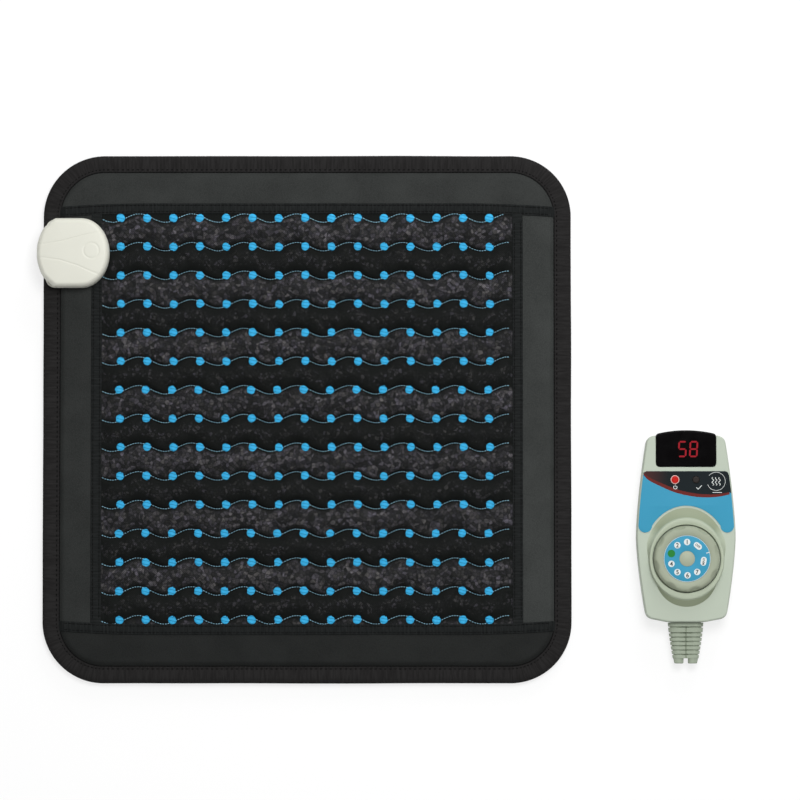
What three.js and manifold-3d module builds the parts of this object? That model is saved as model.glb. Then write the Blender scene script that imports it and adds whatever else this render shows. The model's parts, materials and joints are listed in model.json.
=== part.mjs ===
// A heating pad with a quilted, stone-filled face, the lead box on its corner and its hand controller.
// Millimetres, +Z up. The origin is the middle of the pad's underside. +X points to the controller and
// +Y to the edge that the lead box stands near.
import * as THREE from 'three';
import { mergeVertices } from 'three/addons/utils/BufferGeometryUtils.js';
import Module from 'manifold-3d';

const wasm = await Module();
wasm.setup();

// Fits
const layerGap = 0.25; // air between the pad's soft layers
const fitGap = 0.3; // between parts that are fitted together
const slideGap = 0.25; // round a button stem, a shaft or a screw
const dialGap = 0.8; // between the knob and its collar
const overcut = 1; // how far a cutting body runs past the face it cuts
const roundSides = 16;
const hiddenSides = 8; // of posts and screws that are out of sight

// Pad, seen from above
const padSide = 450;
const padCornerRadius = 52.5;
const bindingWidth = 15.5;
const borderWidth = 26.5;
const borderFall = 6; // width of the slope where the border drops to the binding
const innerTapeWidth = 8;
const tapeLap = 4; // how far the inner tape laps over the quilted panel
const seamRows = 15;
const seamMargin = 4.2; // from the inner tape to the nearest sewn row
const seamWidth = 1.2;
const channelRise = 6; // crown of a filled channel above its seams
const channelTaper = 12; // length over which a channel's end is drawn down
const channelArcSteps = 6;
const stoneEndGap = 1.5; // from a channel's sewn end to its stone
const cornerSteps = 6; // even, so that arcs and swept rings share their facets

// Pad, from the table up
const backThickness = 2;
const foamThickness = 5;
const foilThickness = 0.3;
const wireDiameter = 2.2;
const feltThickness = 1.2;
const underclothThickness = 0.4;
const meshThickness = 0.6;
const borderThickness = 1.3;
const tapeThickness = 0.7;
const bindingThickness = 0.8;
const bindingEdgeRadius = 3;

// Heating wire
const wireRunHalf = 158; // half the length of one run
const wireBend = 6;
const wireBendSteps = 2;
const wireSides = 6;
const leadSpacing = 4.6; // between the two ends that rise into the lead box
const leadColumnGap = 9; // from the turns of the runs to the leads beside them

// Lead box, from its axis in the middle of the left border
const boxFromTopEdge = 84.7;
const boxScrewSpacing = 40;
const leadHoleRadius = 6.4;
const leadHoleX = 4; // the leads rise beside the axis, towards the pad's middle
const baseReachOut = 26; // towards the pad's edge
const baseReachIn = 22; // towards the pad's middle
const baseWidth = 58;
const baseThickness = 2.8;
const baseCornerRadius = 8;
const baseSetBack = 0.8; // how far the base stays behind the cap's round end
const bossRadius = 3.4;
const capNoseReach = 33.3;
const capReachIn = 28.6;
const capWidth = 59;
const capFlatOut = 18; // straight stretch of the cap's long sides, from the axis
const capFlatIn = 4.9;
const capShoulderX = 27.5;
const capShoulderY = 21;
const capHeight = 13;
const capDome = 7; // height of the rounded part
const capTopInset = 7; // how far the rounding draws the top in
const capWall = 2.2;
const glandRadius = 4.3;
const glandBore = 3.2;
const glandLength = 10;
const glandLip = 0.8; // chamfer round the gland's mouth
const plateWidth = 24;
const plateLength = 54;
const plateThickness = 3;
const plateCornerRadius = 5;
const terminalLength = 20;
const terminalWidth = 14;
const terminalHeight = 8;
const cutoutLength = 20;
const cutoutWidth = 6;
const cutoutHeight = 4;
const cutoutFromAxis = 18.2;

// Screws
const screwRadius = 1.5;
const screwHeadRadius = 2.8;
const screwHeadHeight = 1.7;
const screwHeadSink = 0.4; // how far a head lies below the face it is sunk in
const screwGrip = 8; // length held in the boss

// Controller case, seen from above, from the dial's axis
const padToController = 54;
const dialBelowPadMiddle = 119.5;
const caseTopY = 104.5;
const caseBottomY = 51;
const caseWaistY = 19; // where the case is widest
const caseWaistWidth = 84;
const caseTopWidth = 65.5;
const caseBottomWidth = 67.2;
const caseFlare = 1.5; // power of the curve from the waist to the ends
const caseTopArch = 1.5;
const caseBottomArch = 3.5;
const caseCornerRadius = 7;

// Controller case, from the table up
const caseHeight = 27;
const caseSplit = 13; // height of the parting line
const caseWall = 2.2;
const caseEdgeInset = 1.5; // rounding of the upper edge, sideways
const caseEdgeDrop = 2.6; // and downwards
const caseEdgeKnee = 0.3; // share of a rounding that its middle ring takes
const caseLean = 1.6; // how far the lower half's sides lean in towards the foot
const caseFootInset = 2;
const caseFootRise = 2.4;
const caseBossRadius = 3.2;
const caseScrewTopY = 58;
const caseScrewBottomY = 40;
const caseBossMargin = 1.2; // from a boss to the inner wall

// Display window
const windowWidth = 50.8;
const windowBottomY = 78;
const windowTopY = 105.8;
const windowArch = 3.1;
const windowCornerRadius = 3;
const windowProud = 0.8;
const windowEdge = 0.8;
const windowWall = 1.8;
const displayWidth = 25.2;
const displayLength = 19;

// Face label
const labelTopY = 74.2;
const labelInset = 1.9;
const labelThickness = 0.4;
const labelSeat = 0.1; // film of glue under the label
const labelLobeY = 28; // height of the centres of its two lower lobes
const labelCornerRadius = 2.5;
const labelArchMargin = 2; // from the dial's mound to the label

// Dial
const knobDiameter = 56;
const knobTop = 39;
const knobEdge = 3.2; // height of the rounded rim
const knobRimInset = 2.4;
const knobFlutes = 8;
const fluteDepth = 1.8;
const knobWall = 2.4;
const knobSides = 64;
const hubRadius = 6;
const collarWidth = 3.4;
const collarHeight = 6; // above the case's face
const moundReach = 42; // of the mound that carries the collar, along the case
const moundSide = 34.5; // and across it
const moundSides = 36;
const wellDepth = 6.5;
const scaleOuterRadius = 19.7;
const scaleInnerRadius = 6.6;
const scaleThickness = 0.45;
const scaleRecess = 0.6;
const potRadius = 12;
const potHeight = 9.4;
const potFloor = 1.9; // under the end of the shaft
const bushRadius = 4.4;
const bushLength = 3; // above the floor of the well
const shaftRadius = 3;
const shaftEngagement = 6; // length held in the hub

// Buttons and switches
const buttonRowY = 67;
const powerX = -9.4;
const confirmX = 8.4;
const powerRadius = 3.7;
const confirmRadius = 2.9;
const buttonProud = 1.3;
const buttonFlange = 0.8;
const buttonFlangeHeight = 1.2;
const buttonTravel = 1;
const stemRadius = 1.5;
const switchSide = 6.2;
const switchHeight = 4;
const switchFloor = 1.1;

// Boards
const boardThickness = 1.6;
const controlBoardLift = 14.4; // underside above the table
const controlBoardWidth = 54;
const controlBoardFrom = 49;
const controlBoardTo = 98;
const powerBoardLift = 5;
const powerBoardWidth = 58;
const powerBoardFrom = -32;
const powerBoardTo = 40;
const postRadius = 2.4;
const postInset = 6.6; // from a board's edges to the posts under it
const transformerWidth = 15;
const transformerLength = 28;
const transformerHeight = 14;
const relayWidth = 15;
const relayLength = 19;
const relayHeight = 15;
const partToPot = 1.5; // clear width between the potentiometer and the tall parts beside it
const transformerY = 12;
const relayY = -14;

// Strain relief boot
const bootLength = 35.8;
const bootRootRadius = 7.4;
const bootTipRadius = 4.2;
const bootRootSpread = 7.7; // from the middle to the axis of one lobe
const bootTipSpread = 5.7;
const bootBore = 3.2;
const bootBoreSpread = 5.85;
const bootRibs = 7;
const bootRibDepth = 0.9;
const bootGroove = 1.6; // width of the groove after each rib
const bootSides = 14;
const bootSmoothTip = 7;
const bootForkLength = 5.5;
const bootWebHeight = 7;
const bootNeckWidth = 26;
const bootNeckHeight = 12;
const bootFlange = 2;
const bootFlangeLength = 2.5;

// Heights that follow
const padHalf = padSide / 2;
const foamBottom = backThickness + layerGap;
const foamTop = foamBottom + foamThickness;
const foilBottom = foamTop + layerGap;
const foilTop = foilBottom + foilThickness;
const wireBottom = foilTop + layerGap;
const wireLevel = wireBottom + wireDiameter / 2;
const feltBottom = wireBottom + wireDiameter + layerGap;
const feltTop = feltBottom + feltThickness;
const borderBottom = feltTop + layerGap;
const borderTop = borderBottom + borderThickness;
const underclothTop = borderBottom + underclothThickness;
const meshValley = underclothTop + layerGap;
const meshFlatTop = meshValley + meshThickness;
const tapeBottom = Math.max(borderTop, meshFlatTop) + layerGap;
const tapeTop = tapeBottom + tapeThickness;
const flangeBottom = foamTop + layerGap;
const flangeTop = flangeBottom + borderThickness;
const bindingTop = flangeTop + layerGap + bindingThickness;
const backRimBottom = bindingThickness + layerGap;
const baseBottom = tapeTop + layerGap;
const baseTop = baseBottom + baseThickness;
const capBottom = baseTop + fitGap;
const capTop = capBottom + capHeight;
const glandZ = capBottom + glandRadius;
const terminalBottom = baseTop + fitGap;
const caseCeiling = caseHeight - caseWall;
const collarTop = caseHeight + collarHeight;
const wellFloor = collarTop - wellDepth;
const bushTop = wellFloor + bushLength;
const screwSeat = screwHeadSink + screwHeadHeight + slideGap;

// Insets from the pad's edge that follow
const tuckInset = bindingEdgeRadius + layerGap; // layers that are tucked into the binding
const slopeFoot = bindingWidth + fitGap;
const slopeHead = slopeFoot + borderFall;
const slopeLean = borderThickness / 2; // keeps the border's thickness down the slope
const innerLayerInset = slopeHead + overcut; // layers that stay under the flat of the border
const tapeOuterInset = bindingWidth + borderWidth;
const tapeInnerInset = tapeOuterInset + innerTapeWidth;
const borderInnerInset = tapeInnerInset - tapeLap;
const panelInset = borderInnerInset + fitGap;

// Places that follow
const boxX = -(padHalf - bindingWidth - borderWidth / 2);
const boxY = padHalf - boxFromTopEdge;
const leadX = boxX + leadHoleX;
const channelEnd = padHalf - tapeInnerInset;
const seamPitch = (2 * (channelEnd - seamMargin)) / (seamRows - 1);
const channelHalf = (seamPitch - seamWidth) / 2;
const firstChannel = channelEnd - seamMargin - seamPitch / 2;
const channels = Array.from({ length: seamRows - 1 }, (_, k) => firstChannel - k * seamPitch);
const boxScrewPlaces = [-boxScrewSpacing / 2, boxScrewSpacing / 2];

// Finishes
const finishes = {
  binding: { color: 0x2b2b2b, roughness: 0.9, metalness: 0 },
  leatherette: { color: 0x383a39, roughness: 0.55, metalness: 0 },
  innerTape: { color: 0x232726, roughness: 0.9, metalness: 0 },
  mesh: { color: 0x2a2b2b, roughness: 0.8, metalness: 0 },
  paleStone: { color: 0x6b6872, roughness: 0.6, metalness: 0 },
  darkStone: { color: 0x242526, roughness: 0.5, metalness: 0 },
  cloth: { color: 0x2c2c2e, roughness: 0.95, metalness: 0 },
  foam: { color: 0xd8d4c8, roughness: 0.95, metalness: 0 },
  felt: { color: 0xc9c6be, roughness: 1, metalness: 0 },
  foil: { color: 0xc4c6c8, roughness: 0.3, metalness: 1 },
  wire: { color: 0xb4502e, roughness: 0.45, metalness: 0 },
  creamPlastic: { color: 0xe2e2d8, roughness: 0.4, metalness: 0 },
  palePlastic: { color: 0xb4bfae, roughness: 0.45, metalness: 0 },
  bootRubber: { color: 0x9aa492, roughness: 0.6, metalness: 0 },
  blackGloss: { color: 0x0a090a, roughness: 0.08, metalness: 0 },
  label: { color: 0x459bbc, roughness: 0.35, metalness: 0 },
  redKey: { color: 0xc01f15, roughness: 0.3, metalness: 0 },
  darkKey: { color: 0x20262a, roughness: 0.35, metalness: 0 },
  board: { color: 0x1f5a34, roughness: 0.5, metalness: 0 },
  ivoryPart: { color: 0xd9d2bd, roughness: 0.5, metalness: 0 },
  blackPart: { color: 0x1c1c1e, roughness: 0.5, metalness: 0 },
  steel: { color: 0xb0b2b4, roughness: 0.35, metalness: 1 },
};

const assembly = new THREE.Group();
const pad = new THREE.Group();
const leadBox = new THREE.Group();
const controller = new THREE.Group();
leadBox.position.set(boxX, boxY, 0);
controller.position.set(padHalf + padToController + caseWaistWidth / 2, -dialBelowPadMiddle, 0);
assembly.add(pad, leadBox, controller);

function addPiece(group, name, shape, finish) {
  const geometry = shape.isBufferGeometry ? shape : geometryOf(shape);
  const mesh = new THREE.Mesh(geometry, new THREE.MeshStandardMaterial(finishes[finish]));
  mesh.name = name;
  group.add(mesh);
}

// A geometry as a solid that can be joined and cut, and back.
function solidOf(geometry) {
  const bare = geometry.clone();
  bare.deleteAttribute('normal');
  bare.deleteAttribute('uv');
  const merged = mergeVertices(bare);
  const vertProperties = new Float32Array(merged.attributes.position.array);
  const triVerts = new Uint32Array(merged.index.array);
  return new wasm.Manifold(new wasm.Mesh({ numProp: 3, vertProperties, triVerts }));
}

function geometryOf(solid) {
  const mesh = solid.getMesh();
  const geometry = new THREE.BufferGeometry();
  geometry.setAttribute('position', new THREE.BufferAttribute(new Float32Array(mesh.vertProperties), 3));
  geometry.setIndex(new THREE.BufferAttribute(new Uint32Array(mesh.triVerts), 1));
  return geometry;
}

function facesOf(points, triangles) {
  const geometry = new THREE.BufferGeometry();
  geometry.setAttribute('position', new THREE.Float32BufferAttribute(points.flat(), 3));
  geometry.setIndex(triangles.flat());
  return geometry;
}

function extrude(shape, low, high, curveSegments = cornerSteps / 2) {
  const settings = { depth: high - low, bevelEnabled: false, curveSegments };
  return new THREE.ExtrudeGeometry(shape, settings).translate(0, 0, low);
}

function block(x0, x1, y0, y1, z0, z1) {
  const geometry = new THREE.BoxGeometry(x1 - x0, y1 - y0, z1 - z0);
  return geometry.translate((x0 + x1) / 2, (y0 + y1) / 2, (z0 + z1) / 2);
}

function post(x, y, radius, low, high, sides = roundSides) {
  const geometry = new THREE.CylinderGeometry(radius, radius, high - low, sides);
  return geometry.rotateX(Math.PI / 2).translate(x, y, (low + high) / 2);
}

// A profile of [radius, height] pairs turned about the vertical axis.
function turned(profile, sides = roundSides) {
  const points = profile.map(([radius, height]) => new THREE.Vector2(radius, height));
  return new THREE.LatheGeometry(points, sides).rotateX(Math.PI / 2);
}

// Rings of equal count, one above the other, skinned and closed at both ends from their middles.
function loft(rings) {
  const count = rings[0].length;
  const points = rings.flat();
  const triangles = [];
  for (let level = 0; level < rings.length - 1; level += 1) {
    for (let i = 0; i < count; i += 1) {
      const next = (i + 1) % count;
      const a = level * count + i;
      const b = level * count + next;
      triangles.push([a, b, b + count], [a, b + count, a + count]);
    }
  }
  const middle = (ring) => [0, 1, 2].map((axis) => ring.reduce((sum, p) => sum + p[axis], 0) / count);
  const top = (rings.length - 1) * count;
  points.push(middle(rings[0]), middle(rings.at(-1)));
  for (let i = 0; i < count; i += 1) {
    const next = (i + 1) % count;
    triangles.push([points.length - 2, next, i], [points.length - 1, top + i, top + next]);
  }
  return facesOf(points, triangles);
}

function circle(radius, sides, x = 0, y = 0) {
  return Array.from({ length: sides }, (_, i) => {
    const angle = (2 * Math.PI * i) / sides;
    return [x + radius * Math.cos(angle), y + radius * Math.sin(angle)];
  });
}

const lift = (outline, z) => outline.map(([x, y]) => [x, y, z]);

function hole(x, y, radius) {
  return new THREE.Path(circle(radius, roundSides, x, y).map(([px, py]) => new THREE.Vector2(px, py)));
}

// A convex counter-clockwise outline moved inwards by a distance, its corners mitred.
function insetOutline(outline, distance) {
  const count = outline.length;
  const edge = (i) => {
    const [x0, y0] = outline[i];
    const [x1, y1] = outline[(i + 1) % count];
    const length = Math.hypot(x1 - x0, y1 - y0);
    return [-(y1 - y0) / length, (x1 - x0) / length];
  };
  return outline.map(([x, y], i) => {
    const [ax, ay] = edge((i + count - 1) % count);
    const [bx, by] = edge(i);
    const share = distance / (1 + ax * bx + ay * by);
    return [x + (ax + bx) * share, y + (ay + by) * share];
  });
}

function shapeOf(outline) {
  return new THREE.Shape(outline.map(([x, y]) => new THREE.Vector2(x, y)));
}

function roundedRectangle(x0, x1, y0, y1, radius) {
  const shape = new THREE.Shape();
  shape.moveTo(x1, y0 + radius);
  shape.absarc(x1 - radius, y1 - radius, radius, 0, Math.PI / 2);
  shape.absarc(x0 + radius, y1 - radius, radius, Math.PI / 2, Math.PI);
  shape.absarc(x0 + radius, y0 + radius, radius, Math.PI, 1.5 * Math.PI);
  shape.absarc(x1 - radius, y0 + radius, radius, 1.5 * Math.PI, 2 * Math.PI);
  return shape;
}

// A path through given points, taken one step at a time, so that long runs need no extra steps.
class PointPath extends THREE.Curve {
  constructor(points) {
    super();
    this.points = points;
  }

  getPointAt(share, target = new THREE.Vector3()) {
    return target.copy(this.points[Math.round(share * (this.points.length - 1))]);
  }

  getTangentAt(share, target = new THREE.Vector3()) {
    const i = Math.round(share * (this.points.length - 1));
    const before = this.points[Math.max(i - 1, 0)];
    const here = this.points[i];
    const after = this.points[Math.min(i + 1, this.points.length - 1)];
    const arriving = here.clone().sub(before).normalize();
    const leaving = after.clone().sub(here).normalize();
    return target.copy(arriving.add(leaving)).normalize();
  }
}

// Corner points joined by straight runs, with each corner rounded to the bend radius.
function roundedRoute(corners, bend, steps) {
  const route = [corners[0]];
  for (let i = 1; i < corners.length - 1; i += 1) {
    const arriving = corners[i].clone().sub(corners[i - 1]).normalize();
    const leaving = corners[i + 1].clone().sub(corners[i]).normalize();
    const turn = arriving.angleTo(leaving);
    const start = corners[i].clone().addScaledVector(arriving, -bend * Math.tan(turn / 2));
    const inward = leaving.clone().addScaledVector(arriving, -Math.cos(turn)).normalize();
    for (let step = 0; step <= steps; step += 1) {
      const angle = (turn * step) / steps;
      const along = bend * Math.sin(angle);
      const across = bend * (1 - Math.cos(angle));
      route.push(start.clone().addScaledVector(arriving, along).addScaledVector(inward, across));
    }
  }
  route.push(corners.at(-1));
  return route;
}

function tubeAlong(route, radius, sides) {
  const section = shapeOf(circle(radius, sides));
  const settings = { steps: route.length - 1, bevelEnabled: false, extrudePath: new PointPath(route) };
  return new THREE.ExtrudeGeometry(section, settings);
}

// The pad's outline at an inset from its edge.
function padOutline(inset) {
  const half = padHalf - inset;
  return roundedRectangle(-half, half, -half, half, padCornerRadius - inset);
}

// Where the outline at an inset stands, at a height y beside one of the round corners.
function cornerReach(inset, y) {
  const centre = padHalf - padCornerRadius;
  return centre + Math.sqrt((padCornerRadius - inset) ** 2 - (y - centre) ** 2);
}

// A closed section of [inset from the pad's edge, height] pairs carried round the pad's outline.
function ringAround(section) {
  const centre = padHalf - padCornerRadius;
  const stations = [];
  for (let quarter = 0; quarter < 4; quarter += 1) {
    const signX = quarter === 0 || quarter === 3 ? 1 : -1;
    const signY = quarter < 2 ? 1 : -1;
    for (let step = 0; step <= cornerSteps; step += 1) {
      stations.push([signX * centre, signY * centre, ((quarter + step / cornerSteps) * Math.PI) / 2]);
    }
  }
  const points = [];
  const triangles = [];
  const count = section.length;
  stations.forEach(([x, y, angle], at) => {
    const following = (at + 1) % stations.length;
    section.forEach(([inset, height], i) => {
      const radius = padCornerRadius - inset;
      const next = (i + 1) % count;
      const a = at * count + i;
      const b = at * count + next;
      const c = following * count + i;
      const d = following * count + next;
      points.push([x + radius * Math.cos(angle), y + radius * Math.sin(angle), height]);
      triangles.push([a, c, d], [a, d, b]);
    });
  });
  return facesOf(points, triangles);
}

// Holes that the lead box needs in a layer of the pad.
function pierced(shape, withLeads) {
  for (const y of boxScrewPlaces) {
    shape.holes.push(hole(boxX, boxY + y, bossRadius + fitGap));
  }
  if (withLeads) {
    shape.holes.push(hole(leadX, boxY, leadHoleRadius));
  }
  return shape;
}

function plateOutline(margin) {
  const x = plateWidth / 2 + margin;
  const y = plateLength / 2 + margin;
  return roundedRectangle(boxX - x, boxX + x, boxY - y, boxY + y, plateCornerRadius + margin);
}

// The back cover is whole inside the binding and thinner where the binding's lower flap wraps it.
function backCover() {
  const middle = solidOf(extrude(padOutline(bindingWidth + fitGap), 0, backThickness));
  const rim = solidOf(extrude(padOutline(tuckInset), backRimBottom, backThickness));
  const opening = solidOf(extrude(plateOutline(fitGap), -overcut, backThickness + overcut));
  return middle.add(rim).subtract(opening);
}

function foamLayer() {
  const slab = solidOf(extrude(pierced(padOutline(tuckInset), false), foamBottom, foamTop));
  const pocket = solidOf(extrude(plateOutline(fitGap), 0, plateThickness + layerGap));
  return slab.subtract(pocket);
}

// One unbroken wire: up a lead, to and fro under the channels, and back along the left side.
function heatingWire() {
  const at = (x, y, z = wireLevel) => new THREE.Vector3(x, y, z);
  const runs = channels.slice(0, 2 * Math.floor(channels.length / 2));
  const firstColumn = -wireRunHalf - leadColumnGap;
  const lastColumn = firstColumn - leadColumnGap;
  const leadTop = terminalBottom - fitGap;
  const firstLead = boxY + leadSpacing / 2;
  const lastLead = boxY - leadSpacing / 2;
  const corners = [at(leadX, firstLead, leadTop), at(leadX, firstLead), at(firstColumn, firstLead)];
  corners.push(at(firstColumn, runs[0]));
  runs.forEach((y, k) => {
    const side = k % 2 === 0 ? wireRunHalf : -wireRunHalf;
    if (k > 0) corners.push(at(-side, y));
    if (k < runs.length - 1) corners.push(at(side, y));
  });
  corners.push(at(lastColumn, runs.at(-1)), at(lastColumn, lastLead));
  corners.push(at(leadX, lastLead), at(leadX, lastLead, leadTop));
  return tubeAlong(roundedRoute(corners, wireBend, wireBendSteps), wireDiameter / 2, wireSides);
}

// How much of its full crown a channel has at x: none at its sewn end, all of it past the taper.
function crownShare(x) {
  return THREE.MathUtils.clamp((channelEnd - Math.abs(x)) / channelTaper, 0, 1);
}

const channelAngles = Array.from(
  { length: channelArcSteps + 1 }, (_, i) => Math.PI * (i / channelArcSteps - 0.5),
);

// The crushed stone of one channel: flat below, crowned above, drawn down at both ends.
function stoneFill(y) {
  const half = channelHalf - fitGap;
  const end = channelEnd - stoneEndGap;
  const full = channelEnd - channelTaper;
  const rings = [-end, -full, full, end].map((x) => channelAngles.map((angle) => {
    const rise = channelRise * Math.cos(angle) * crownShare(x);
    return [y - half * Math.sin(angle), meshValley + rise, x];
  }));
  return loft(rings).rotateX(Math.PI / 2).rotateZ(Math.PI / 2);
}

// The quilted cover: one sheet that rises over every channel and lies flat at the seams and margins.
function meshPanel() {
  const edge = padHalf - panelInset;
  const full = channelEnd - channelTaper;
  const columns = [-edge, -channelEnd, -full, full, channelEnd, edge];
  const across = [[-edge, 0]];
  [...channels].reverse().forEach((y) => {
    channelAngles.forEach((angle) => across.push([y + channelHalf * Math.sin(angle), Math.cos(angle)]));
  });
  across.push([edge, 0]);
  const points = [];
  const triangles = [];
  const rows = across.length;
  const layer = rows * columns.length;
  [0, meshThickness].forEach((thickness) => columns.forEach((x) => across.forEach(([y, crown]) => {
    const rise = (channelRise + layerGap) * crown * crownShare(x);
    points.push([x, y, meshValley + rise + thickness]);
  })));
  const height = (i) => points[i][2];
  // Each four-sided face is folded along its higher diagonal, so that the sheet stays clear of the fill.
  const quad = (a, b, c, d) => {
    const foldAC = height(a) + height(c) >= height(b) + height(d);
    triangles.push(...(foldAC ? [[a, b, c], [a, c, d]] : [[a, b, d], [b, c, d]]));
  };
  for (let i = 0; i < columns.length - 1; i += 1) {
    for (let j = 0; j < rows - 1; j += 1) {
      const a = i * rows + j;
      quad(a, a + 1, a + rows + 1, a + rows);
      quad(layer + a, layer + a + rows, layer + a + rows + 1, layer + a + 1);
    }
    const first = i * rows;
    const last = first + rows - 1;
    quad(first, first + rows, layer + first + rows, layer + first);
    quad(last + rows, last, layer + last, layer + last + rows);
  }
  for (let j = 0; j < rows - 1; j += 1) {
    const end = (columns.length - 1) * rows + j;
    quad(j + 1, j, layer + j, layer + j + 1);
    quad(end, end + 1, layer + end + 1, layer + end);
  }
  return facesOf(points, triangles);
}

// The border: flat beside the inner tape, then sloping down into the binding. Sewn from four strips.
function borderStrips() {
  const ring = solidOf(ringAround([
    [borderInnerInset, borderTop], [borderInnerInset, borderBottom], [slopeHead, borderBottom],
    [slopeFoot + slopeLean, flangeBottom], [tuckInset, flangeBottom], [tuckInset, flangeTop],
    [slopeFoot, flangeTop], [slopeHead - slopeLean, borderTop],
  ]));
  const inner = padHalf - borderInnerInset;
  const reach = padSide;
  const below = -overcut;
  const above = borderTop + overcut;
  const middle = solidOf(block(-inner, inner, -inner, inner, below, above));
  const cut = (x0, x1, y0, y1) => ring.intersect(solidOf(block(x0, x1, y0, y1, below, above)));
  let left = cut(-reach, -padHalf / 2, -inner + fitGap, inner - fitGap).subtract(middle);
  for (const y of boxScrewPlaces) {
    left = left.subtract(solidOf(post(boxX, boxY + y, bossRadius + fitGap, below, above)));
  }
  return {
    border_top: cut(-reach, reach, inner, reach),
    border_bottom: cut(-reach, reach, -reach, -inner),
    border_left: left.subtract(solidOf(post(leadX, boxY, leadHoleRadius, below, above))),
    border_right: cut(padHalf / 2, reach, -inner + fitGap, inner - fitGap).subtract(middle),
  };
}

// The upper and lower inner tapes run right across and bend down the border's slope at both ends.
function longTape(yLow) {
  const inner = padHalf - tapeInnerInset;
  const flat = cornerReach(slopeHead - slopeLean, inner);
  const drop = bindingTop + layerGap;
  const end = flat + ((tapeBottom - drop) / (borderTop - flangeTop)) * (borderFall - slopeLean);
  const outline = [
    [-end, drop], [-flat, tapeBottom], [flat, tapeBottom], [end, drop],
    [end, drop + tapeThickness], [flat, tapeTop], [-flat, tapeTop], [-end, drop + tapeThickness],
  ];
  const bar = extrude(shapeOf(outline), 0, innerTapeWidth);
  return bar.rotateX(Math.PI / 2).translate(0, yLow + innerTapeWidth, 0);
}

function shortTape(xLow) {
  const end = padHalf - tapeInnerInset - fitGap;
  return block(xLow, xLow + innerTapeWidth, -end, end, tapeBottom, tapeTop);
}

// The binding is a folded tape: one flap under the pad, one above, and a round edge between them.
function edgeBinding() {
  const arcSteps = 2;
  const corner = (radius, z, from) => Array.from({ length: arcSteps + 1 }, (_, i) => {
    const angle = from + (i / arcSteps) * (Math.PI / 2);
    return [bindingEdgeRadius - radius * Math.cos(angle), z + radius * Math.sin(angle)];
  });
  const low = bindingEdgeRadius;
  const high = bindingTop - bindingEdgeRadius;
  const inside = bindingEdgeRadius - bindingThickness;
  const outer = [...corner(bindingEdgeRadius, low, -Math.PI / 2), ...corner(bindingEdgeRadius, high, 0)];
  const inner = [...corner(inside, low, -Math.PI / 2), ...corner(inside, high, 0)];
  return ringAround([
    [bindingWidth, bindingThickness], [bindingWidth, 0], ...outer,
    [bindingWidth, bindingTop], [bindingWidth, bindingTop - bindingThickness], ...inner.reverse(),
  ]);
}

function buildPad() {
  const panelHalf = padHalf - panelInset;
  const undercloth = block(-panelHalf, panelHalf, -panelHalf, panelHalf, borderBottom, underclothTop);
  const tapeInner = padHalf - tapeInnerInset;
  const tapeOuter = padHalf - tapeOuterInset;
  addPiece(pad, 'back_cover', backCover(), 'leatherette');
  addPiece(pad, 'foam_layer', foamLayer(), 'foam');
  const foil = pierced(padOutline(innerLayerInset), false);
  addPiece(pad, 'reflective_foil', extrude(foil, foilBottom, foilTop), 'foil');
  addPiece(pad, 'heating_wire', heatingWire(), 'wire');
  const felt = pierced(padOutline(innerLayerInset), true);
  addPiece(pad, 'cover_felt', extrude(felt, feltBottom, feltTop), 'felt');
  addPiece(pad, 'panel_undercloth', undercloth, 'cloth');
  channels.forEach((y, k) => {
    const name = `stone_fill_${String(k + 1).padStart(2, '0')}`;
    addPiece(pad, name, stoneFill(y), k % 2 === 0 ? 'paleStone' : 'darkStone');
  });
  addPiece(pad, 'mesh_panel', meshPanel(), 'mesh');
  for (const [name, strip] of Object.entries(borderStrips())) {
    addPiece(pad, name, strip, 'leatherette');
  }
  addPiece(pad, 'inner_tape_top', longTape(tapeInner), 'innerTape');
  addPiece(pad, 'inner_tape_bottom', longTape(-tapeOuter), 'innerTape');
  addPiece(pad, 'inner_tape_left', shortTape(-tapeOuter), 'innerTape');
  addPiece(pad, 'inner_tape_right', shortTape(tapeInner), 'innerTape');
  addPiece(pad, 'edge_binding', edgeBinding(), 'binding');
}

// Outline of the lead box's cap: round towards the pad's middle, with a tapered nose for the cord.
function capOutline() {
  const half = capWidth / 2;
  const roundSteps = 12;
  const noseSteps = 6;
  const round = Array.from({ length: roundSteps + 1 }, (_, i) => {
    const angle = Math.PI * (i / roundSteps - 0.5);
    return [capFlatIn + (capReachIn - capFlatIn) * Math.cos(angle), half * Math.sin(angle)];
  });
  const nose = Array.from({ length: noseSteps + 1 }, (_, i) => {
    const share = 1 - (2 * i) / noseSteps;
    return [-capNoseReach + (capNoseReach - capShoulderX) * share ** 2, capShoulderY * share];
  });
  return [...round, [-capFlatOut, half], ...nose, [-capFlatOut, -half]];
}

// A dome over the cap's outline, set in by a wall and ending at a height.
function capDomeSolid(outline, low, top) {
  const domeSteps = 3;
  const rings = [lift(outline, low)];
  for (let i = 0; i <= domeSteps; i += 1) {
    const angle = (i / domeSteps) * (Math.PI / 2);
    const inset = insetOutline(outline, capTopInset * (1 - Math.cos(angle)));
    rings.push(lift(inset, top - capDome * (1 - Math.sin(angle))));
  }
  return solidOf(loft(rings));
}

function boxCap() {
  const outline = capOutline();
  const cavity = capDomeSolid(insetOutline(outline, capWall), capBottom - overcut, capTop - capWall);
  let cap = capDomeSolid(outline, capBottom, capTop).subtract(cavity);
  for (const y of boxScrewPlaces) {
    const bore = post(0, y, screwRadius + slideGap, capBottom - overcut, capBottom + screwGrip);
    cap = cap.add(solidOf(post(0, y, bossRadius, capBottom, capTop - capWall / 2)));
    cap = cap.subtract(solidOf(bore));
  }
  const inner = capNoseReach - glandLength - overcut;
  const tunnel = post(0, 0, glandRadius + fitGap, inner, capNoseReach + overcut);
  return cap.subtract(solidOf(lieAlongNose(tunnel)));
}

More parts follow.
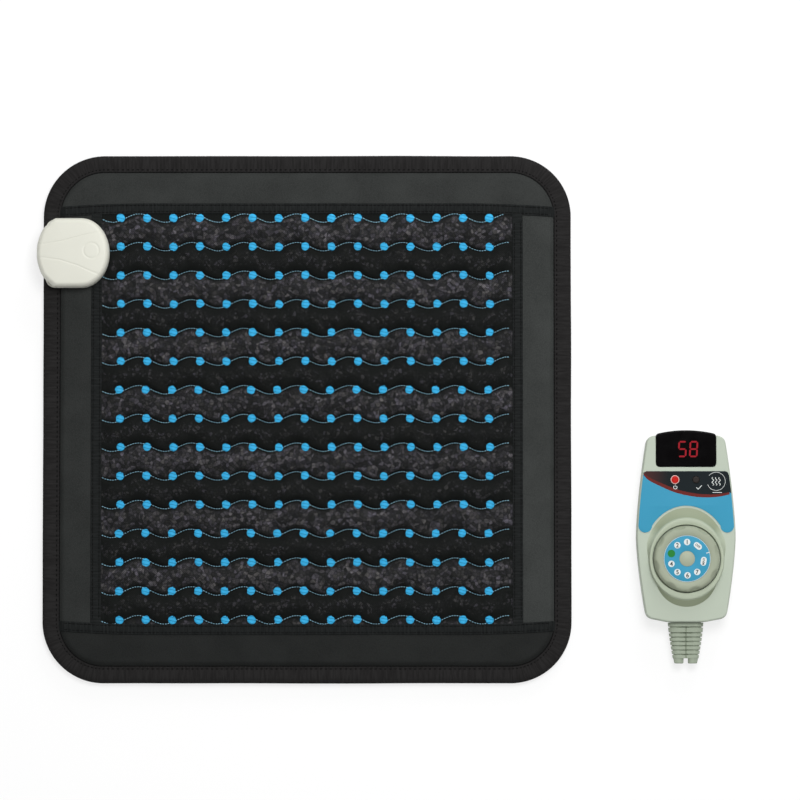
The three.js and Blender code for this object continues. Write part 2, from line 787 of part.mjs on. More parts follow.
// Turns a body that was made along +Z to point out of the cap's nose, at the gland's height.
function lieAlongNose(geometry) {
  return geometry.rotateY(-Math.PI / 2).translate(0, 0, glandZ);
}

function cordGland() {
  const inner = capNoseReach - glandLength;
  const lip = capNoseReach - glandLip;
  const half = glandLip / 2;
  return lieAlongNose(turned([
    [glandBore, inner], [glandRadius, inner], [glandRadius, lip], [glandRadius - half, capNoseReach],
    [glandBore + half, capNoseReach], [glandBore, lip], [glandBore, inner],
  ]));
}

// The base bridges the inner tape, stands on border and binding, and clamps the pad with two bosses.
// The base follows the cap's round end up to the quilted panel; two corners show beside the cap's nose.
function baseOutline() {
  const half = baseWidth / 2;
  const round = capReachIn - capFlatIn - baseSetBack;
  const stop = Math.acos((baseReachIn - capFlatIn) / round);
  const out = baseCornerRadius - baseReachOut;
  const along = half - baseCornerRadius;
  const shape = new THREE.Shape();
  shape.absellipse(capFlatIn, 0, round, half, -Math.PI / 2, -stop, false, 0);
  shape.absellipse(capFlatIn, 0, round, half, stop, Math.PI / 2, false, 0);
  shape.absarc(out, along, baseCornerRadius, Math.PI / 2, Math.PI, false);
  shape.absarc(out, -along, baseCornerRadius, Math.PI, 1.5 * Math.PI, false);
  return shape;
}

function boxBase() {
  const outline = baseOutline();
  const column = (low, high) => solidOf(extrude(outline, low, high));
  const border = borderWidth / 2;
  const foot = border - borderFall - fitGap;
  const flat = block(-foot, border - fitGap, -padHalf, padHalf, borderTop + layerGap, baseTop);
  const edge = block(-padHalf, -border - fitGap, -padHalf, padHalf, bindingTop + layerGap, baseTop);
  let base = column(baseBottom, baseTop);
  base = base.add(column(borderTop + layerGap, baseTop).intersect(solidOf(flat)));
  base = base.add(column(bindingTop + layerGap, baseTop).intersect(solidOf(edge)));
  for (const y of boxScrewPlaces) {
    base = base.add(solidOf(post(0, y, bossRadius, plateThickness + layerGap, baseTop)));
    base = base.subtract(solidOf(post(0, y, screwRadius + slideGap, 0, capTop)));
  }
  return base.subtract(solidOf(post(leadHoleX, 0, leadHoleRadius, 0, capTop)));
}

function backingPlate() {
  const shape = plateOutline(0);
  let plate = solidOf(extrude(shape, 0, plateThickness).translate(-boxX, -boxY, 0));
  for (const y of boxScrewPlaces) {
    const bore = post(0, y, screwRadius + slideGap, -overcut, plateThickness + overcut);
    const sink = post(0, y, screwHeadRadius + fitGap, -overcut, screwSeat);
    plate = plate.subtract(solidOf(bore)).subtract(solidOf(sink));
  }
  return plate;
}

// A screw whose head lies in a sunk seat at the given height and whose tip ends at another.
function screw(x, y, headLow, tip) {
  const head = headLow + screwHeadHeight;
  const profile = [[0, headLow], [screwHeadRadius, headLow], [screwHeadRadius, head], [screwRadius, head]];
  profile.push([screwRadius, tip - screwRadius / 2], [screwRadius / 2, tip], [0, tip]);
  return turned(profile, hiddenSides).translate(x, y, 0);
}

function buildLeadBox() {
  addPiece(leadBox, 'box_base', boxBase(), 'creamPlastic');
  addPiece(leadBox, 'box_cap', boxCap(), 'creamPlastic');
  addPiece(leadBox, 'box_backing_plate', backingPlate(), 'creamPlastic');
  const tip = capBottom + screwGrip - fitGap;
  boxScrewPlaces.forEach((y, k) => {
    addPiece(leadBox, `box_screw_${k + 1}`, screw(0, y, screwHeadSink, tip), 'steel');
  });
  addPiece(leadBox, 'cord_gland', cordGland(), 'blackPart');
  const x = terminalLength / 2;
  const y = terminalWidth / 2;
  const terminalTop = terminalBottom + terminalHeight;
  addPiece(leadBox, 'terminal_block',
    block(leadHoleX - x, leadHoleX + x, -y, y, terminalBottom, terminalTop), 'ivoryPart');
  const from = cutoutFromAxis - cutoutWidth / 2;
  const to = cutoutFromAxis + cutoutWidth / 2;
  const end = cutoutLength / 2;
  addPiece(leadBox, 'thermal_cutout',
    block(from, to, -end, end, baseTop + fitGap, baseTop + fitGap + cutoutHeight), 'blackPart');
}

// Half the case's width at a distance y from the dial: widest at the waist, drawn in towards both ends.
function caseHalfWidth(y) {
  const towardsTop = y > caseWaistY;
  const end = towardsTop ? caseTopY : -caseBottomY;
  const drawIn = (caseWaistWidth - (towardsTop ? caseTopWidth : caseBottomWidth)) / 2;
  return caseWaistWidth / 2 - drawIn * ((y - caseWaistY) / (end - caseWaistY)) ** caseFlare;
}

// The case's ends bulge between their corners. Each is flat where the boot or the window sits.
function endBulge(cornerY, rise, x) {
  return rise * (1 - (x / (caseHalfWidth(cornerY) - caseCornerRadius)) ** 2);
}

const lowCornerY = caseCornerRadius - caseBottomY;
const highCornerY = caseTopY - caseCornerRadius;
const lowFlat = bootNeckWidth / 2 + bootFlange + fitGap;
const highFlat = windowWidth / 4;
const lowEndY = -caseBottomY - endBulge(lowCornerY, caseBottomArch, lowFlat);
const highEndY = caseTopY + endBulge(highCornerY, caseTopArch, highFlat);

// Outline of the case, counter-clockwise from the middle of its lower end.
function caseOutline() {
  const sideSteps = 8;
  const arcSteps = 4;
  const corner = (y, from) => Array.from({ length: arcSteps }, (_, i) => {
    const angle = from + ((i + (from < 0 ? 0 : 1)) / arcSteps) * (Math.PI / 2);
    const x = caseHalfWidth(y) - caseCornerRadius;
    return [x + caseCornerRadius * Math.cos(angle), y + caseCornerRadius * Math.sin(angle)];
  });
  const side = Array.from({ length: sideSteps + 1 }, (_, i) => {
    const y = lowCornerY + ((highCornerY - lowCornerY) * i) / sideSteps;
    return [caseHalfWidth(y), y];
  });
  const right = [
    [lowFlat, lowEndY], ...corner(lowCornerY, -Math.PI / 2), ...side,
    ...corner(highCornerY, 0), [highFlat, highEndY],
  ];
  const left = right.map(([x, y]) => [-x, y]).reverse();
  return [...right, ...left];
}

function bossPlaces() {
  return [caseScrewTopY, -caseScrewBottomY].flatMap((y) => {
    const x = caseHalfWidth(y) - caseWall - caseBossRadius - caseBossMargin;
    return [[-x, y], [x, y]];
  });
}

// The lower end's opening, shared by both halves of the case, that the boot's neck sits in.
function bootOpening() {
  const x = bootNeckWidth / 2 + fitGap;
  const z = bootNeckHeight / 2 + fitGap;
  const inside = lowEndY + caseWall + overcut;
  return solidOf(block(-x, x, lowEndY - overcut, inside, caseSplit - z, caseSplit + z));
}

function windowOutline(margin) {
  const half = windowWidth / 2 + margin;
  const low = windowBottomY - margin;
  const radius = windowCornerRadius + margin;
  const archSteps = 6;
  const arcSteps = 3;
  const corner = Array.from({ length: arcSteps + 1 }, (_, i) => {
    const angle = (i / arcSteps - 1) * (Math.PI / 2);
    return [half - radius + radius * Math.cos(angle), low + radius + radius * Math.sin(angle)];
  });
  const arch = Array.from({ length: archSteps + 1 }, (_, i) => {
    const share = 1 - (2 * i) / archSteps;
    return [half * share, windowTopY + margin + windowArch * (1 - share ** 2)];
  });
  return [...corner, ...arch, ...corner.map(([x, y]) => [-x, y]).reverse()];
}

// The mound that carries the collar: round on top, longer along the case at its foot.
function dialMound() {
  const top = knobDiameter / 2 + dialGap + collarWidth;
  const foot = circle(1, moundSides).map(([x, y]) => [x * moundSide, y * moundReach]);
  return solidOf(loft([
    lift(foot, caseHeight - caseWall / 2), lift(foot, caseHeight), lift(circle(top, moundSides), collarTop),
  ]));
}

function upperCase() {
  const outline = caseOutline();
  const low = caseSplit + fitGap / 2;
  let shell = solidOf(loft([
    lift(outline, low), lift(outline, caseHeight - caseEdgeDrop),
    lift(insetOutline(outline, caseEdgeInset * caseEdgeKnee), caseHeight - caseEdgeDrop * caseEdgeKnee),
    lift(insetOutline(outline, caseEdgeInset), caseHeight),
  ]));
  const hollow = insetOutline(outline, caseWall);
  shell = shell.subtract(solidOf(loft([lift(hollow, low - overcut), lift(hollow, caseCeiling)])));
  shell = shell.add(dialMound());
  const above = knobTop + overcut;
  shell = shell.subtract(solidOf(post(0, 0, knobDiameter / 2 + dialGap, wellFloor, above, moundSides)));
  shell = shell.subtract(solidOf(post(0, 0, bushRadius + slideGap, 0, above)));
  const notch = windowOutline(fitGap);
  shell = shell.subtract(solidOf(loft([lift(notch, 0), lift(notch, above)])));
  for (const [x, radius] of [[powerX, powerRadius], [confirmX, confirmRadius]]) {
    shell = shell.subtract(solidOf(post(x, buttonRowY, radius + slideGap, 0, above)));
  }
  for (const [x, y] of bossPlaces()) {
    shell = shell.add(solidOf(post(x, y, caseBossRadius, low, caseHeight - caseWall / 2, hiddenSides)));
    shell = shell.subtract(solidOf(post(x, y, screwRadius + slideGap, 0, low + screwGrip, hiddenSides)));
  }
  return shell.subtract(bootOpening());
}

function lowerCase() {
  const outline = caseOutline();
  const footShare = 1 - (2 * caseLean) / caseWaistWidth;
  const foot = outline.map(([x, y]) => [x * footShare, y]);
  const high = caseSplit - fitGap / 2;
  let shell = solidOf(loft([
    lift(insetOutline(foot, caseFootInset), 0),
    lift(insetOutline(foot, caseFootInset * caseEdgeKnee), caseFootRise * caseEdgeKnee),
    lift(foot, caseFootRise), lift(outline, high),
  ]));
  shell = shell.subtract(solidOf(loft([
    lift(insetOutline(foot, caseWall), caseWall), lift(insetOutline(outline, caseWall), high + overcut),
  ])));
  for (const [x, y, top] of boardPosts()) {
    shell = shell.add(solidOf(post(x, y, postRadius, caseWall / 2, top, hiddenSides)));
  }
  for (const [x, y] of bossPlaces()) {
    const boss = post(x, y, caseBossRadius + caseBossMargin, caseWall / 2, high, hiddenSides);
    const bore = post(x, y, screwRadius + slideGap, -overcut, high + overcut, hiddenSides);
    const sink = post(x, y, screwHeadRadius + fitGap, -overcut, screwSeat, hiddenSides);
    shell = shell.add(solidOf(boss)).subtract(solidOf(bore)).subtract(solidOf(sink));
  }
  return shell.subtract(bootOpening());
}

// Posts of the lower case under the corners of both boards.
function boardPosts() {
  const four = (width, from, to, underside) => [-1, 1].flatMap((side) => {
    const x = side * (width / 2 - postInset);
    return [from + postInset, to - postInset].map((y) => [x, y, underside - fitGap]);
  });
  return [
    ...four(controlBoardWidth, controlBoardFrom, controlBoardTo, controlBoardLift),
    ...four(powerBoardWidth, powerBoardFrom, powerBoardTo, powerBoardLift),
  ];
}

function board(width, from, to, low) {
  const shape = roundedRectangle(-width / 2, width / 2, from, to, postRadius);
  return extrude(shape, low, low + boardThickness);
}

// The smoked window: a hollow lens that fills the notch at the case's upper end. Its skirt ends above the
// control board, and reaches down to the parting line only at the end.
function displayWindow() {
  const outline = windowOutline(0);
  const low = caseSplit + fitGap / 2;
  const top = caseHeight + windowProud;
  const lens = solidOf(loft([
    lift(outline, low), lift(outline, caseHeight), lift(insetOutline(outline, windowEdge), top),
  ]));
  const hollow = insetOutline(outline, windowWall);
  const boardTop = controlBoardLift + boardThickness + fitGap;
  const relief = block(-windowWidth, windowWidth, 0, controlBoardTo + fitGap, 0, boardTop);
  return lens.subtract(solidOf(loft([lift(hollow, low - overcut), lift(hollow, top - windowWall)])))
    .subtract(solidOf(relief));
}

function displayModule() {
  const middle = windowBottomY + windowWall + fitGap + displayLength / 2;
  const low = controlBoardLift + boardThickness + fitGap;
  const high = caseHeight + windowProud - windowWall - fitGap;
  const x = displayWidth / 2;
  return block(-x, x, middle - displayLength / 2, middle + displayLength / 2, low, high);
}

// The label follows the case's sides, arches over the dial's mound and ends in two round lobes.
function faceLabel() {
  const side = (y) => caseHalfWidth(y) - labelInset;
  const sideSteps = 6;
  const archSteps = 10;
  const archX = moundSide + labelArchMargin;
  const archY = moundReach + labelArchMargin;
  const lobeAngle = Math.asin(labelLobeY / archY);
  const lobeInner = archX * Math.cos(lobeAngle);
  const lobeRadius = (side(labelLobeY) - lobeInner) / 2;
  const shape = new THREE.Shape();
  shape.moveTo(-lobeInner, labelLobeY);
  shape.absarc(-lobeInner - lobeRadius, labelLobeY, lobeRadius, 0, Math.PI, true);
  for (let i = 1; i <= sideSteps; i += 1) {
    const y = labelLobeY + ((labelTopY - labelCornerRadius - labelLobeY) * i) / sideSteps;
    shape.lineTo(-side(y), y);
  }
  const top = side(labelTopY) - labelCornerRadius;
  shape.absarc(-top, labelTopY - labelCornerRadius, labelCornerRadius, Math.PI, Math.PI / 2, true);
  shape.absarc(top, labelTopY - labelCornerRadius, labelCornerRadius, Math.PI / 2, 0, true);
  for (let i = sideSteps; i >= 0; i -= 1) {
    const y = labelLobeY + ((labelTopY - labelCornerRadius - labelLobeY) * i) / sideSteps;
    shape.lineTo(side(y), y);
  }
  shape.absarc(lobeInner + lobeRadius, labelLobeY, lobeRadius, 0, Math.PI, true);
  for (let i = 1; i < archSteps; i += 1) {
    const angle = lobeAngle + ((Math.PI - 2 * lobeAngle) * i) / archSteps;
    shape.lineTo(archX * Math.cos(angle), archY * Math.sin(angle));
  }
  for (const [x, radius] of [[powerX, powerRadius], [confirmX, confirmRadius]]) {
    shape.holes.push(hole(x, buttonRowY, radius + slideGap));
  }
  const low = caseHeight + labelSeat;
  return extrude(shape, low, low + labelThickness);
}

// The knob: a round skirt, a fluted rim, a recess for the scale ring, and a hub that holds the shaft.
function dialKnob() {
  const radius = knobDiameter / 2;
  const fluted = (r, depth) => circle(1, knobSides).map(([x, y]) => {
    const wave = Math.max(0, -Math.cos(knobFlutes * Math.atan2(y, x)));
    return [x * (r - depth * wave), y * (r - depth * wave)];
  });
  const low = wellFloor + dialGap;
  const rim = knobTop - knobEdge;
  let knob = solidOf(loft([
    lift(circle(radius, knobSides), low), lift(circle(radius, knobSides), collarTop),
    lift(fluted(radius - knobRimInset / 4, fluteDepth), rim),
    lift(fluted(radius - knobRimInset, fluteDepth), knobTop),
  ]));
  const roof = knobTop - knobWall - scaleRecess;
  const hollow = post(0, 0, radius - knobWall - fluteDepth, low - overcut, roof, moundSides);
  const hubLow = bushTop + dialGap;
  const hub = post(0, 0, hubRadius, hubLow, roof + knobWall / 2);
  const bore = post(0, 0, shaftRadius + slideGap, low, hubLow + shaftEngagement + fitGap);
  knob = knob.subtract(solidOf(hollow)).add(solidOf(hub)).subtract(solidOf(bore));
  const inner = scaleInnerRadius - slideGap;
  const outer = scaleOuterRadius + slideGap;
  const floor = knobTop - scaleRecess;
  const above = knobTop + overcut;
  const recess = [[inner, floor], [outer, floor], [outer, above], [inner, above], [inner, floor]];
  return knob.subtract(solidOf(turned(recess, moundSides)));
}

function dialScale() {
  const low = knobTop - scaleRecess + labelSeat;
  const high = low + scaleThickness;
  const outer = scaleOuterRadius;
  const inner = scaleInnerRadius;
  return turned([[inner, low], [outer, low], [outer, high], [inner, high], [inner, low]], moundSides);
}

const potTop = caseCeiling - fitGap;
const shaftBottom = potTop - potHeight + potFloor + fitGap;

function potentiometer() {
  const bore = shaftRadius + slideGap;
  const low = potTop - potHeight;
  return turned([
    [0, low], [potRadius, low], [potRadius, potTop], [bushRadius, potTop], [bushRadius, bushTop],
    [bore, bushTop], [bore, shaftBottom - fitGap], [0, shaftBottom - fitGap],
  ]);
}

function potShaft() {
  const top = bushTop + dialGap + shaftEngagement;
  return turned([[0, shaftBottom], [shaftRadius, shaftBottom], [shaftRadius, top], [0, top]]);
}

const switchTop = controlBoardLift + boardThickness + fitGap + switchHeight;
const stemBottom = switchTop - switchHeight + switchFloor + fitGap + buttonTravel;

// A button: its cap stands out of the face, a flange keeps it in, and its stem reaches into the switch.
function button(x, radius) {
  const stop = caseCeiling - fitGap;
  const flangeLow = stop - buttonFlangeHeight;
  const top = caseHeight + buttonProud;
  const profile = [
    [0, stemBottom], [stemRadius, stemBottom], [stemRadius, flangeLow],
    [radius + buttonFlange, flangeLow], [radius + buttonFlange, stop], [radius, stop],
    [radius, top - buttonFlange / 2], [radius - buttonFlange / 2, top], [0, top],
  ];
  return turned(profile).translate(x, buttonRowY, 0);
}

function keySwitch(x) {
  const half = switchSide / 2;
  const low = switchTop - switchHeight;
  const body = solidOf(block(x - half, x + half, buttonRowY - half, buttonRowY + half, low, switchTop));
  const well = post(x, buttonRowY, stemRadius + slideGap, low + switchFloor, switchTop + overcut);
  return body.subtract(solidOf(well));
}

// One lobe of the boot along +Z, ribbed from its root to the smooth tip, leaning towards the middle.
function bootLobe(side) {
  const ribbed = bootLength - bootSmoothTip;
  const pitch = ribbed / bootRibs;
  const ring = (z, cut) => {
    const share = z / bootLength;
    const radius = THREE.MathUtils.lerp(bootRootRadius, bootTipRadius, share) - cut;
    const x = side * THREE.MathUtils.lerp(bootRootSpread, bootTipSpread, share);
    return lift(circle(radius, bootSides, x), z);
  };
  const rings = [];
  for (let rib = 0; rib < bootRibs; rib += 1) {
    const start = rib * pitch;
    const end = start + pitch;
    rings.push(ring(start, 0), ring(end - bootGroove, 0), ring(end - bootGroove / 2, bootRibDepth));
  }
  rings.push(ring(ribbed, 0), ring(bootLength, 0));
  return solidOf(loft(rings));
}

// The twin boot: two lobes and the web between them, a neck through the case's wall and a flange inside.
function cableBoot() {
  const half = bootNeckWidth / 2;
  const tall = bootNeckHeight / 2;
  const neckLow = -caseWall - 2 * fitGap - bootFlangeLength;
  const webHalf = bootWebHeight / 2;
  const web = block(-bootTipSpread, bootTipSpread, -webHalf, webHalf, 0, bootLength - bootForkLength);
  let boot = bootLobe(-1).add(bootLobe(1)).add(solidOf(web));
  boot = boot.add(solidOf(block(-half, half, -tall, tall, neckLow, overcut)));
  const wide = half + bootFlange;
  const high = tall + bootFlange;
  boot = boot.add(solidOf(block(-wide, wide, -high, high, neckLow, neckLow + bootFlangeLength)));
  for (const side of [-1, 1]) {
    const bore = post(side * bootBoreSpread, 0, bootBore, neckLow - overcut, bootLength + overcut);
    boot = boot.subtract(solidOf(bore));
  }
  return geometryOf(boot).rotateX(Math.PI / 2).translate(0, lowEndY - fitGap, caseSplit);
}

function buildController() {
  const boardTop = powerBoardLift + boardThickness + fitGap;
  const potSide = potRadius + partToPot;
  addPiece(controller, 'lower_case', lowerCase(), 'palePlastic');
  addPiece(controller, 'upper_case', upperCase(), 'palePlastic');
  bossPlaces().forEach(([x, y], k) => {
    const tip = caseSplit + screwGrip - fitGap;
    addPiece(controller, `case_screw_${k + 1}`, screw(x, y, screwHeadSink, tip), 'steel');
  });
  addPiece(controller, 'display_window', displayWindow(), 'blackGloss');
  addPiece(controller, 'display_module', displayModule(), 'blackPart');
  addPiece(controller, 'face_label', faceLabel(), 'label');
  addPiece(controller, 'dial_knob', dialKnob(), 'palePlastic');
  addPiece(controller, 'dial_scale', dialScale(), 'label');
  addPiece(controller, 'potentiometer', potentiometer(), 'steel');
  addPiece(controller, 'potentiometer_shaft', potShaft(), 'steel');
  addPiece(controller, 'power_button', button(powerX, powerRadius), 'redKey');
  addPiece(controller, 'confirm_button', button(confirmX, confirmRadius), 'darkKey');
  addPiece(controller, 'power_switch', keySwitch(powerX), 'blackPart');
  addPiece(controller, 'confirm_switch', keySwitch(confirmX), 'blackPart');
  const controlBoard = board(controlBoardWidth, controlBoardFrom, controlBoardTo, controlBoardLift);
  addPiece(controller, 'control_board', controlBoard, 'board');
  const powerBoard = board(powerBoardWidth, powerBoardFrom, powerBoardTo, powerBoardLift);
  addPiece(controller, 'power_board', powerBoard, 'board');
  const coil = transformerLength / 2;
  addPiece(controller, 'transformer', block(-potSide - transformerWidth, -potSide,
    transformerY - coil, transformerY + coil, boardTop, boardTop + transformerHeight), 'blackPart');
  const relay = relayLength / 2;
  addPiece(controller, 'relay', block(potSide, potSide + relayWidth,
    relayY - relay, relayY + relay, boardTop, boardTop + relayHeight), 'blackPart');
  addPiece(controller, 'cable_boot', cableBoot(), 'bootRubber');
}

buildPad();
buildLeadBox();
buildController();

export default assembly;
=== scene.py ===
import json
import math
import random

import bmesh
import bpy
import numpy as np
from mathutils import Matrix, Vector, noise


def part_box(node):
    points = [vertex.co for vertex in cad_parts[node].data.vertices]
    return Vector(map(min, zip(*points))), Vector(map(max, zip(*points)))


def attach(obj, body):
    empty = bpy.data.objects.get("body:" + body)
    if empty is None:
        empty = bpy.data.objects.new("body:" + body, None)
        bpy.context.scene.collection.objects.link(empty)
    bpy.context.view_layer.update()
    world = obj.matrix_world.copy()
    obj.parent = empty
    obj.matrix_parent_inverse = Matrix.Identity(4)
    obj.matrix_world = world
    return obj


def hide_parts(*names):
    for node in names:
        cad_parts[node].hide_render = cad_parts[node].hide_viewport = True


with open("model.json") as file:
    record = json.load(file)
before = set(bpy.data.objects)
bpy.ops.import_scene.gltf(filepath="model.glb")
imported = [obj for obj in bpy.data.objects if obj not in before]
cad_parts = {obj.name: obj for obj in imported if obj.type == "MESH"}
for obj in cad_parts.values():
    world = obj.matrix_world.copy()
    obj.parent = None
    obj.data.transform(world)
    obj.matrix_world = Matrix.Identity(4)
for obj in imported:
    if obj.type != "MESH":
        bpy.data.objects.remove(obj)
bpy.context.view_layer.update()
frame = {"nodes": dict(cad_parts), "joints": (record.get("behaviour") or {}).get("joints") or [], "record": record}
mm = 0.001
scene = bpy.context.scene
draw = random.Random(5)
print("stage: frame loaded")


# Finishes: a value that travels between nodes, and a material that makes the nodes.
class Wire:
    def __init__(self, paint, socket):
        self.paint = paint
        self.socket = socket

    def maths(self, operation, *terms):
        return self.paint.node("ShaderNodeMath", {"operation": operation}, dict(enumerate(terms)))

    def __add__(self, other):
        return self.maths("ADD", self, other)

    def __sub__(self, other):
        return self.maths("SUBTRACT", self, other)

    def __rsub__(self, other):
        return self.maths("SUBTRACT", other, self)

    def __mul__(self, other):
        return self.maths("MULTIPLY", self, other)

    def __truediv__(self, other):
        return self.maths("DIVIDE", self, other)

    def __pow__(self, other):
        return self.maths("POWER", self, other)

    def __gt__(self, other):
        return self.maths("GREATER_THAN", self, other)

    def __abs__(self):
        return self.maths("ABSOLUTE", self)

    __radd__ = __add__
    __rmul__ = __mul__

    def wave(self, pitch):  # 0 to 1 and back, once in every pitch
        return 0.5 + 0.5 * self.maths("SINE", self * (2 * math.pi / pitch))

    def part(self):  # what is left over after whole steps
        return self.maths("FRACT", self)

    def ramp(self, low, high):  # 0 below low, 1 above high
        span = {"Value": self, "From Min": low, "From Max": high}
        return self.paint.node("ShaderNodeMapRange", {"interpolation_type": "SMOOTHSTEP"}, span)


class Paint:
    def __init__(self, name, holder=None, shader="Principled BSDF"):  # holder: a world, or a new material
        self.material = holder or bpy.data.materials.new(name)
        self.material.use_nodes = True
        self.tree = self.material.node_tree
        self.shader = self.tree.nodes[shader]

    def fill(self, made, sockets):
        for key, value in sockets.items():
            if isinstance(value, Wire):
                self.tree.links.new(value.socket, made.inputs[key])
            else:
                made.inputs[key].default_value = value

    def node(self, kind, settings, sockets, out=0):
        made = self.tree.nodes.new(kind)
        for key, value in settings.items():
            setattr(made, key, value)
        self.fill(made, sockets)
        return Wire(self, made.outputs[out])

    def place(self):  # the point itself, in metres
        return self.node("ShaderNodeTexCoord", {}, {}, "Object")

    def lengths(self):  # lengths along and across a piece, in metres
        return self.split(self.node("ShaderNodeTexCoord", {}, {}, "UV"))

    def split(self, vector):
        made = self.node("ShaderNodeSeparateXYZ", {}, {0: vector}).socket.node
        return [Wire(self, socket) for socket in made.outputs]

    def noise(self, size, detail=2.0, at=None):
        sockets = {"Vector": at or self.place(), "Scale": 1 / (size * mm), "Detail": detail}
        return self.node("ShaderNodeTexNoise", {}, sockets, "Fac")

    def cells(self, size, out="Distance", feature="F1"):
        sockets = {"Vector": self.place(), "Scale": 1 / (size * mm)}
        return self.node("ShaderNodeTexVoronoi", {"feature": feature}, sockets, out)

    def blend(self, share, first, second):
        return self.node("ShaderNodeMix", {"data_type": "RGBA"}, {0: share, 6: first, 7: second}, 2)

    def looks(self, **sockets):
        names = {"colour": "Base Color", "roughness": "Roughness", "metal": "Metallic",
                 "gloss": "Specular IOR Level", "glow": "Emission Color",
                 "glowStrength": "Emission Strength"}
        self.fill(self.shader, {names[key]: value for key, value in sockets.items()})

    def bump(self, height, depth):
        sockets = {"Height": height, "Distance": depth * mm, "Strength": 1.0}
        self.fill(self.shader, {"Normal": self.node("ShaderNodeBump", {}, sockets)})


def tint(red, green, blue):  # a screen colour as linear light
    def level(value):
        share = value / 255
        return share / 12.92 if share <= 0.04045 else ((share + 0.055) / 1.055) ** 2.4
    return (level(red), level(green), level(blue), 1.0)


def shade(colour, share):
    return tuple(min(1.0, level * share) for level in colour[:3]) + (1.0,)


def ribbedTape(name, dark, pale, pitch):
    paint = Paint(name)
    along, across, _ = paint.lengths()
    ribs = along.wave(pitch * mm)
    drawn = paint.node("ShaderNodeCombineXYZ", {}, {0: along, 1: 0.1 * across})
    streak = paint.noise(1.5, 2.0, drawn).ramp(0.3, 0.7)
    fleck = paint.noise(0.7, 3.0)
    drift = paint.noise(28)
    paint.looks(colour=paint.blend(0.3 * ribs + 0.4 * streak + 0.2 * fleck + 0.1 * drift, dark, pale),
                roughness=0.75 + 0.2 * fleck, gloss=0.03)
    paint.bump(0.45 * ribs + 0.4 * streak + 0.25 * fleck, 0.2)
    return paint


def leatherette(name, paintedShade=1.0):
    paint = Paint(name)
    creases = paint.cells(1.3, feature="DISTANCE_TO_EDGE").ramp(0.0, 0.22)
    fine = paint.noise(0.5, 3.0)
    drift = paint.noise(36).ramp(0.3, 0.7)
    # paintedShade scales the colour: painted light and shade, giving lit and shaded copies of one leatherette
    dark, pale = tint(37 * paintedShade, 39 * paintedShade, 38 * paintedShade), tint(59 * paintedShade, 61 * paintedShade, 60 * paintedShade)
    paint.looks(colour=paint.blend(0.35 * creases + 0.25 * fine + 0.4 * drift, dark, pale),
                roughness=0.55 + 0.14 * drift - 0.06 * creases, gloss=0.05)
    paint.bump(0.7 * creases + 0.3 * fine, 0.06)
    return paint


quilt = {"topRow": 170.8, "pitch": 24.4, "rows": 15, "firstDot": -158.9, "dotPitch": 22.4, "columns": 15,
         "waveHeight": 3.6, "waveLead": 6.6, "valley": 13.2, "rise": 6.2, "half": 11.8, "reach": 178.5,
         "open": 175.0, "endRun": 12.0, "dotRadius": 3.65, "dotHold": 3.5}


def stoneCloth(name):  # dark mesh; pale stone shows in every second channel
    paint = Paint(name)
    _, row, _ = paint.lengths()
    step = (quilt["topRow"] * mm - row) / (quilt["pitch"] * mm)
    pale = 1 - ((step * 0.5).part() > 0.5)
    middle = 1 - 2 * abs(step.part() - 0.5)
    stone = paint.split(paint.cells(3.2, "Color"))
    chip = paint.split(paint.cells(1.3, "Color"))[1]
    edge = paint.cells(3.2, feature="DISTANCE_TO_EDGE").ramp(0.0, 0.16)
    patch = paint.noise(12).ramp(0.3, 0.6)
    lit = (0.14 + 0.86 * stone[0] ** 2.0) * (0.45 + 0.55 * chip) * (0.35 + 0.65 * edge) * (0.5 + 0.5 * patch)
    rare = (0.25 + 0.75 * (stone[1] > 0.6)) * chip * edge * middle.ramp(0.3, 0.9)
    seen = pale * lit * middle.ramp(0.02, 0.42) * 0.7 + (1 - pale) * rare * 0.2
    x, y, _ = paint.split(paint.place())
    net = ((x + y).wave(1.7 * mm) * (x - y).wave(1.7 * mm)).ramp(0.02, 0.5)
    rock = paint.blend(stone[2], tint(140, 135, 150), tint(140, 136, 136))
    knit = paint.blend(0.4 * net + 0.6 * paint.noise(0.9, 3.0), tint(19, 21, 20), tint(32, 34, 33))
    paint.looks(colour=paint.blend(seen * (0.6 + 0.4 * net), knit, rock), roughness=0.85 - 0.2 * seen,
                gloss=0.03)
    paint.bump(0.5 * edge * middle.ramp(0.02, 0.42) + 0.3 * net + 0.4 * paint.noise(2.2), 0.35)
    return paint


def thread(name, dark, pale, pitch, roughness):
    paint = Paint(name)
    x, y, _ = paint.split(paint.place())
    strand = (y + 0.12 * x).wave(pitch * mm)
    fleck = paint.noise(0.6, 2.0)
    paint.looks(colour=paint.blend(0.6 * strand + 0.4 * fleck, dark, pale), roughness=roughness, gloss=0.06)
    paint.bump(strand + 0.3 * fleck, 0.08)
    return paint


def satinDot(name):
    paint = Paint(name)
    x, y, _ = paint.split(paint.place())
    strand = (y + 0.12 * x).wave(0.6 * mm)
    gap = (y + 0.2 * x + 0.002 * paint.noise(9)).wave(2.9 * mm).ramp(0.86, 1.0)
    fleck = paint.noise(0.6)
    silk = paint.blend(0.5 * strand + 0.5 * fleck, tint(30, 158, 224), tint(84, 206, 250))
    paint.looks(colour=paint.blend(0.7 * gap, silk, tint(16, 96, 150)), roughness=0.42, gloss=0.08)
    paint.bump(strand + 0.3 * fleck - 0.6 * gap, 0.08)
    return paint


def moulded(name, colour, roughness, grain=0.8, depth=0.012, vary=0.08, gloss=0.3):
    paint = Paint(name)
    fine = paint.noise(grain, 4.0)
    if callable(colour):
        toned = colour(paint)
    else:
        toned = paint.blend(0.5 * paint.noise(24) + 0.5 * fine, shade(colour, 1 - vary),
                            shade(colour, 1 + vary))
    paint.looks(colour=toned, roughness=roughness - 0.06 + 0.12 * fine, gloss=gloss)
    paint.bump(fine, depth)
    return paint


